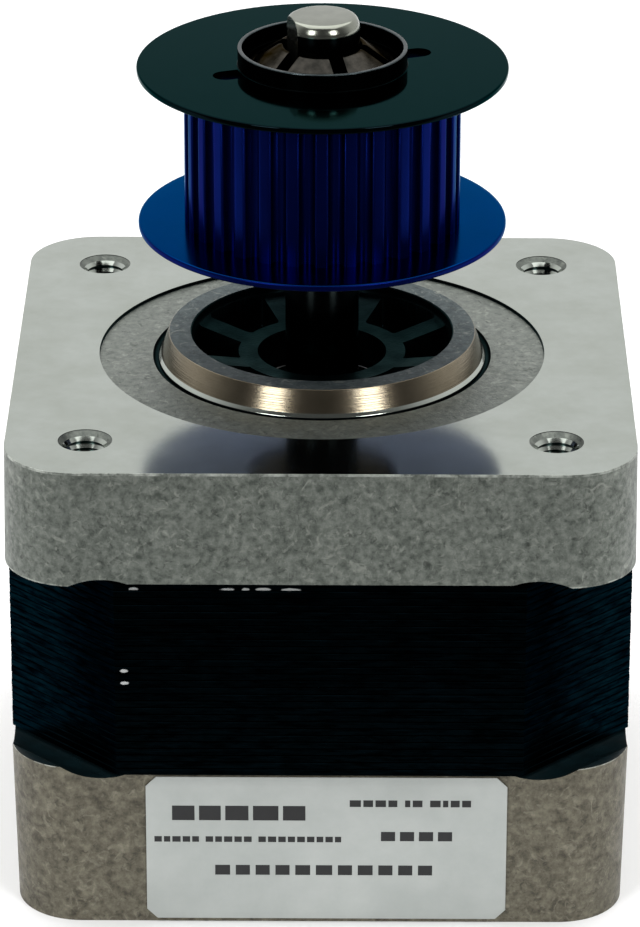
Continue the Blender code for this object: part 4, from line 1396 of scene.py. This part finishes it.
@dataclass
class Header:
    """Six-way connector header at the back of the rear cap."""

    finishes: Finishes
    wall: float = 0.6
    side_wall: float = 0.7
    back: float = 15.2                  # where the socket ends
    key_at: float = 5.0
    pins: int = 6
    pin_low: float = 4.4
    pin_high: float = 5.2
    pin_spare: float = 0.15

    def build(self) -> Object:
        """Build and dress the header; its pins stay as they are."""
        low, high = node_box("connector_header")
        block = bevel(box("connector_header_shell", tuple(low), tuple(high)), 0.15, 2)
        socket = bevel(box("socket", (low.x + self.side_wall, self.back, low.z + self.wall),
                           (high.x - self.side_wall, high.y + 4.0, high.z - self.wall)), 0.2, 2)
        keys = [box(f"key_{k}", (x - 0.5, high.y - 3.0, high.z - 1.0),
                    (x + 0.5, high.y + 1.0, high.z + 1.0))
                for k, x in enumerate((-self.key_at, self.key_at))]
        holes = []
        for k in range(self.pins):
            node = f"connector_pin_{k + 1}"
            left, right = (corner.x for corner in node_box(node))
            holes.append(box(f"pin_hole_{k}", (left - self.pin_spare, 13.0, self.pin_low),
                             (right + self.pin_spare, 16.0, self.pin_high)))
            assign(frame["nodes"][node], [self.finishes.tinned])
        shell = weigh_normals(shape(block, [socket] + keys + holes))
        assign(shell, [self.finishes.header])
        return deliver(shell, Body.MOTOR, "connector_nylon", "connector_header")


@dataclass
class Bearing:
    """One deep-groove ball bearing: rings, shield, and balls that travel with their cage."""

    side: str
    balls_body: Body
    finishes: Finishes
    balls: int = 7
    ball_r: float = 1.39
    pitch_r: float = 5.25
    bore_r: float = 2.65
    inner_land: float = 4.05
    groove_play: float = 0.12
    edge: float = 0.25
    shield_hole_r: float = 4.3
    shield_step_r: float = 4.9

    def ring_profile(self, outer: bool, half: float, wall_r: float) -> list[Point2]:
        """Give the profile of a ring: rounded corners outside, a ball groove inside.

        Args:
            outer: whether it is the outer ring.
            half: half its width.
            wall_r: radius of the wall away from the balls.

        Returns:
            The profile about mid height, running down the outer side first.
        """
        groove_r = self.ball_r + self.groove_play
        span = math.degrees(math.acos((self.pitch_r - self.inner_land) / groove_r))
        if outer:
            sides = (wall_r, 2 * self.pitch_r - self.inner_land)
            middle = 0.0
            corners_before = 3
        else:
            sides = (self.inner_land, wall_r)
            middle = 180.0
            corners_before = 1
        wall = round_profile([(sides[0], half, self.edge), (sides[0], -half, self.edge),
                              (sides[1], -half, self.edge), (sides[1], half, self.edge)])
        groove = arc((self.pitch_r, 0.0), groove_r, middle - span, middle + span, 12)
        cut = corners_before * (CORNER_STEPS + 1)
        return wall[:cut] + groove + wall[cut:]

    def build(self) -> None:
        """Build and dress the bearing."""
        use = self.finishes
        stem = f"{self.side}_bearing"
        low, high = node_box(f"{stem}_outer_ring")
        middle = (low.z + high.z) / 2
        half = (high.z - low.z) / 2
        for ring, wall_r, body in (("outer", high.x, Body.MOTOR), ("inner", self.bore_r, Body.ROTOR)):
            profile = self.ring_profile(ring == "outer", half, wall_r)
            race = plain(turned(f"{self.side}_{ring}_race", profile, RING_STEPS,
                                (0.0, 0.0, middle)))
            deliver(assign(race, [use.bearing]), body, "bearing_steel", f"{stem}_{ring}_ring")
        low, high = node_box(f"{stem}_shield")
        lip = 0.05
        dish = [(high.x, high.z, lip), (high.x, low.z, lip), (self.shield_step_r, low.z, 0.0),
                (self.shield_hole_r, low.z + lip, lip), (self.shield_hole_r, high.z - lip, lip),
                (self.shield_step_r, high.z, 0.1)]
        shield = plain(turned(f"{self.side}_shield", round_profile(dish), RING_STEPS))
        deliver(assign(shield, [use.bearing]), Body.MOTOR, "bearing_steel", f"{stem}_shield")

        work = bmesh.new()
        spot = Matrix.Translation((self.pitch_r * MM, 0.0, middle * MM))
        bmesh.ops.create_icosphere(work, subdivisions=3, radius=self.ball_r * MM, matrix=spot)
        ball = from_bmesh(f"{self.side}_ball_set", work)
        balls = polar_tree().run(ball, use.bearing, {"Count": self.balls, "Start": 0.0}, 60.0)
        nodes = [f"{stem}_ball_{k + 1}" for k in range(self.balls)]
        deliver(balls, self.balls_body, "bearing_steel", *nodes)
        assign(frame["nodes"][f"{stem}_cage"], [use.cage])


@dataclass
class Shaft:
    """Ground shaft with a drive flat and a rounded tip."""

    finishes: Finishes
    radius: float = 2.5
    flat_depth: float = 0.4
    flat_azimuth: float = 196.0
    flat_from: float = 43.0             # lower end of the flat; below it the shaft is painted dark
    tip: float = 0.3
    end: float = 0.4                    # chamfer of the rear end

    def build(self) -> Object:
        """Build and dress the shaft."""
        low, high = node_box("shaft")
        corners = [(0.0, high.z, 0.0), (self.radius - self.tip, high.z, 0.25),
                   (self.radius, high.z - 0.5, 0.3), (self.radius, low.z + self.end, 0.0),
                   (self.radius - self.end, low.z, 0.0), (0.0, low.z, 0.0)]
        shaft = turned("ground_shaft", round_profile(corners, 6), RING_STEPS)
        flat = box("flat", (self.radius - self.flat_depth, -4.0, self.flat_from),
                   (6.0, 4.0, high.z + 2.0))
        flat.data.transform(about_z(self.flat_azimuth))
        shaft = weigh_normals(bevel(shape(shaft, [flat]), 0.06, 2, 30.0))
        # below the flat the shaft takes the painted shade
        assign(shaft, [self.finishes.ground, self.finishes.shaded_shaft],
               lambda centre, normal: int(centre.z < self.flat_from))
        return deliver(shaft, Body.ROTOR, "ground_shaft_steel", "shaft")


@dataclass
class Pulley:
    """Timing belt pulley: toothed drum with its lower flange, split hub, black top flange."""

    finishes: Finishes
    teeth: int = 30
    tip_r: float = 9.3
    tooth_depth: float = 0.75
    groove_r: float = 0.52
    tip_round: float = 0.14
    tip_edge: float = 0.12              # broken edge of the teeth's upper ends
    bore_r: float = 5.2
    flange_t: float = 0.45
    hub_r: float = 4.9
    hub_ledge: float = 54.0             # height of the shoulder under the petals
    hub_bore_r: float = 2.65
    cone_r: Point2 = (2.9, 4.55)        # the petals' cone, at its top and at its foot
    petals: int = 6
    petal_azimuth: float = 48.0
    slit_width: float = 1.0
    slit_floor: float = 52.3
    slit_r: float = 4.62
    top_t: float = 0.4
    collar_r: float = 5.68
    collar_bore_r: float = 5.4
    top_bore_r: float = 5.08
    top_ledge: float = 54.15            # height of the step inside the collar
    slot_azimuth: float = 20.0
    slot_half: float = 0.85
    slot_reach: float = 7.7

    def tooth_outline(self) -> list[Point2]:
        """Give one pitch of the drum's rim as azimuth in radians and radius in mm.

        Returns:
            Points from the middle of one groove to the middle of the next.
        """
        pitch = math.tau / self.teeth
        depth = self.tooth_depth - self.groove_r
        flank = [(x, y - depth) for x, y in arc((0.0, 0.0), self.groove_r, 270.0, 360.0, 8)]
        edge = arc((self.groove_r + self.tip_round, -self.tip_round), self.tip_round,
                   180.0, 90.0, 4)
        half = [(x / self.tip_r, self.tip_r + y) for x, y in flank + edge]
        land = [(pitch * t, self.tip_r) for t in (0.4, 0.45, 0.5, 0.55, 0.6)]
        return half + land + [(pitch - a, r) for a, r in reversed(half)]

    def drum(self) -> Object:
        """Build the drum from one tooth repeated round the axis, with its edges broken."""
        low, high = node_box("pulley_drum")
        base = low.z + self.flange_t
        foot = base - 0.1
        rim = self.tooth_outline()
        bore = [(a, self.bore_r) for a, _ in rim]
        work = bmesh.new()
        rows = []
        for outline, height, inset in ((rim, foot, 0.0), (rim, high.z - self.tip_edge, 0.0),
                                       (rim, high.z, self.tip_edge), (bore, high.z, 0.0),
                                       (bore, foot, 0.0)):
            rows.append([work.verts.new((math.cos(a) * (r - inset) * MM,
                                         math.sin(a) * (r - inset) * MM, height * MM))
                         for a, r in outline])
        rows.append(rows[0])
        for lower, upper in zip(rows, rows[1:]):
            for i in range(len(rim) - 1):
                work.faces.new((lower[i], lower[i + 1], upper[i + 1], upper[i]))
        drum = from_bmesh("pulley_toothed_drum", work)
        drum = polar_tree().run(drum, self.finishes.drum, {"Count": self.teeth, "Start": 0.0}, 40.0)
        return deliver(drum, Body.ROTOR, "blue_pulley", "pulley_drum")

    def lower_flange(self) -> Object:
        """Build the lower flange."""
        low, high = node_box("pulley_drum")
        top = low.z + self.flange_t
        corners = [(high.x, top, 0.16), (high.x, low.z, 0.16), (self.bore_r, low.z, 0.1),
                   (self.bore_r, top, 0.0), (self.tip_r + 0.35, top, 0.0)]
        flange = turned("pulley_lower_flange", round_profile(corners, 6), FLANGE_STEPS)
        flange = plain(flange, 50.0)

        def slot_of(centre: Vector, normal: Vector) -> int:
            """Choose a face's finish: upper side 0, underside 1, rim 2."""
            if abs(normal.z) < 0.75:
                return 2
            return int(normal.z < 0.0)

        use = self.finishes
        assign(flange, [use.lit_blue_flange, use.lit_blue_under, use.drum], slot_of)
        return deliver(flange, Body.ROTOR, "blue_pulley", "pulley_drum")

    def hub(self) -> Object:
        """Build the hub: a sleeve with petals round the shaft."""
        low, high = node_box("pulley_hub")
        ledge = self.hub_ledge
        bore = self.hub_bore_r
        top_r, foot_r = self.cone_r
        corners = [(top_r, high.z, 0.12), (foot_r, ledge + 0.2, 0.15), (foot_r + 0.05, ledge, 0.0),
                   (self.hub_r, ledge, 0.1), (self.hub_r, low.z, 0.2), (bore, low.z, 0.1),
                   (bore, high.z, 0.1)]
        hub = plain(turned("pulley_split_hub", round_profile(corners, 5), RING_STEPS))
        half = self.slit_width / 2
        slits = []
        for k in range(self.petals):
            slit = box(f"slit_{k}", (2.0, -half, self.slit_floor),
                       (self.slit_r, half, high.z + 1.0))
            slit.data.transform(about_z(self.petal_azimuth + 360.0 / self.petals * k))
            slits.append(slit)
        hub = weigh_normals(bevel(shape(hub, slits), 0.07, 2, 45.0))
        assign(hub, [self.finishes.hub])
        return deliver(hub, Body.ROTOR, "black_pulley", "pulley_hub")

    def top_flange(self) -> Object:
        """Build the top flange with its collar and the two locking slots."""
        low, high = node_box("pulley_top_flange")
        over = low.z + self.top_t
        corners = [(self.collar_r, high.z, 0.08), (self.collar_r, over, 0.1),
                   (high.x, over, 0.12), (high.x, low.z, 0.12), (self.top_bore_r, low.z, 0.0),
                   (self.top_bore_r, self.top_ledge, 0.06),
                   (self.collar_bore_r, self.top_ledge, 0.0), (self.collar_bore_r, high.z, 0.08)]
        flange = turned("pulley_black_flange", round_profile(corners, 5), FLANGE_STEPS)
        flange = plain(flange, 50.0)
        half = self.slot_half
        far = self.slot_reach - half
        near = self.collar_r + 0.05
        slot = arc((far, 0.0), half, -90.0, 90.0, 16) + [(near, half), (near, -half)]
        tools = [extruded(f"slot_{k}", [turn_points(slot, self.slot_azimuth + 180.0 * k)],
                          low.z - 2.0, over + 2.0) for k in range(2)]
        flange = weigh_normals(shape(flange, tools))

        def slot_of(centre: Vector, normal: Vector) -> int:
            """Choose a face's finish: flange 0, the collar's wall 1 with painted shade, the collar's rim
            2 with a painted highlight.
            """
            if centre.z > high.z - 0.1:
                return 2
            return int(centre.z > over + 0.02)

        use = self.finishes
        assign(flange, [use.black, use.collar, use.collar_rim], slot_of)
        return deliver(flange, Body.ROTOR, "black_pulley", "pulley_top_flange")

    def build(self) -> None:
        """Build every piece of the pulley."""
        self.drum()
        self.lower_flange()
        self.hub()
        self.top_flange()


class InnerPieces:
    """The hidden pieces of the motor, which keep their shapes and get their own finishes."""

    def __init__(self, finishes: Finishes) -> None:
        """Choose a finish for each node."""
        self.dress = {"front_insulator": finishes.insulator, "rear_insulator": finishes.insulator,
                      "winding_board": finishes.board, "rotor_magnet": finishes.magnet,
                      "front_rotor_cup": finishes.rotor_steel,
                      "rear_rotor_cup": finishes.rotor_steel, "front_spacer": finishes.bearing,
                      "rear_spacer": finishes.bearing, "wave_washer": finishes.bearing}
        for k in range(1, 9):
            self.dress[f"coil_{k}"] = finishes.copper

    def build(self) -> None:
        """Dress the nodes."""
        for name, material in self.dress.items():
            assign(frame["nodes"][name], [material])
            log.info("%s: dressed", name)


@dataclass
class Studio:
    """Pale floor, soft lights and the camera."""

    target: Point3 = (-0.119, 0.0, 24.656)
    distance: float = 364.34
    elevation: float = 24.1124
    azimuth: float = 0.2678
    roll: float = 0.1101
    lens: float = 204.9
    side_place: Point3 = (0.314, -0.449, 0.274)     # metres
    side_watts: float = 1.6
    overhead_watts: float = 8.0
    tent_span: Point2 = (-0.55, 0.35)               # of the unit sphere round the scene
    tent_tones: Point2 = (0.08, 1.0)
    floor_half: float = 3.0                         # metres
    floor_span: Point2 = (-0.08, -0.028)            # metres
    floor_tones: Point2 = (0.06, 0.9)

    def camera(self) -> None:
        """Set up the camera."""
        data = bpy.data.cameras.new("camera")
        data.lens = self.lens
        data.clip_start = 0.01
        camera = link(bpy.data.objects.new("camera", data))
        rise = math.radians(self.elevation)
        swing = math.radians(self.azimuth)
        aim = Vector(self.target) * MM
        away = Vector((math.sin(swing) * math.cos(rise), -math.cos(swing) * math.cos(rise),
                       math.sin(rise)))
        look = (-away).to_track_quat("-Z", "Y").to_matrix().to_4x4()
        camera.matrix_world = (Matrix.Translation(aim + away * self.distance * MM) @ look
                               @ about_z(self.roll))
        bpy.context.scene.camera = camera

    def light(self, name: str, place: Point3, size: Point2,
              power: float, aim: Point3 = (0.0, 0.0, 0.03)) -> None:
        """Hang one rectangular softbox.

        Args:
            name: the light's name.
            place: where it hangs, in metres.
            size: its width and height in metres.
            power: its power in watts.
            aim: the point that it faces.
        """
        data = bpy.data.lights.new(name, "AREA")
        data.shape = "RECTANGLE"
        data.size, data.size_y = size
        data.energy = power
        lamp = link(bpy.data.objects.new(name, data))
        lamp.location = place
        lamp.rotation_euler = (Vector(aim) - Vector(place)).to_track_quat("-Z", "Y").to_euler()

    def shaded(self, tree: Tree, coords: str, span: Point2, tones: Point2) -> Socket:
        """Give a tone that darkens towards the viewer, except where the camera sees it directly.

        Args:
            tree: the world's or the floor's nodes.
            coords: the output of Texture Coordinate that it follows.
            span: where along Y the tone starts and ends.
            tones: its dark and its pale value.

        Returns:
            The tone.
        """
        place = add_node(tree, "ShaderNodeTexCoord")
        parts = add_node(tree, "ShaderNodeSeparateXYZ", inputs={"Vector": place.outputs[coords]})
        ramp = add_node(tree, "ShaderNodeMapRange", {"interpolation_type": "SMOOTHSTEP"},
                        {"Value": parts.outputs["Y"], "From Min": span[0], "From Max": span[1],
                         "To Min": tones[0], "To Max": tones[1]})
        path = add_node(tree, "ShaderNodeLightPath")
        seen = add_node(tree, "ShaderNodeMath", {"operation": "MULTIPLY"},
                        {0: path.outputs["Is Camera Ray"], 1: tones[1]})
        tone = add_node(tree, "ShaderNodeMath", {"operation": "MAXIMUM"},
                        {0: ramp.outputs["Result"], 1: seen.outputs[0]})
        return tone.outputs[0]

    def world(self) -> None:
        """Surround the object with a pale tent whose mirror image is dark towards the viewer."""
        world = bpy.data.worlds.new("tent")
        world.use_nodes = True
        tree = world.node_tree
        strength = self.shaded(tree, "Generated", self.tent_span, self.tent_tones)
        tree.links.new(strength, tree.nodes["Background"].inputs["Strength"])
        tree.nodes["Background"].inputs["Color"].default_value = (1.0, 1.0, 1.0, 1.0)
        bpy.context.scene.world = world

    def floor(self) -> None:
        """Lay the floor."""
        work = bmesh.new()
        bmesh.ops.create_grid(work, x_segments=1, y_segments=1, size=self.floor_half)
        floor = from_bmesh("floor", work)
        material = bpy.data.materials.new("pale_floor")
        material.use_nodes = True
        tree = material.node_tree
        shader = tree.nodes["Principled BSDF"]
        shader.inputs["Roughness"].default_value = 0.9
        tone = self.shaded(tree, "Object", self.floor_span, self.floor_tones)
        tree.links.new(tone, shader.inputs["Base Color"])
        floor.data.materials.append(material)

    def build(self) -> None:
        """Set up the studio."""
        self.camera()
        self.world()
        across, along, rise = self.side_place
        for name, side in (("left_box", -across), ("right_box", across)):
            self.light(name, (side, along, rise), (0.16, 0.25), self.side_watts)
        self.light("overhead", (0.0, 0.15, 0.8), (1.2, 1.2), self.overhead_watts)
        self.floor()
        bpy.context.scene.view_settings.view_transform = "Standard"


def main() -> None:
    """Build every sub-assembly and the studio."""
    logging.basicConfig(level=logging.INFO, format="%(name)s %(message)s")
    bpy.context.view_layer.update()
    finishes = Finishes()
    datums = Datums()
    for assembly in (FrontCap(datums, finishes), RearCap(datums, finishes),
                     Stack(datums, finishes), Label(finishes), Screws(datums, finishes),
                     Header(finishes), Bearing("front", Body.FRONT_BALLS, finishes),
                     Bearing("rear", Body.REAR_BALLS, finishes), Shaft(finishes),
                     Pulley(finishes), InnerPieces(finishes), Studio()):
        assembly.build()


if __name__ == "__main__":
    main()
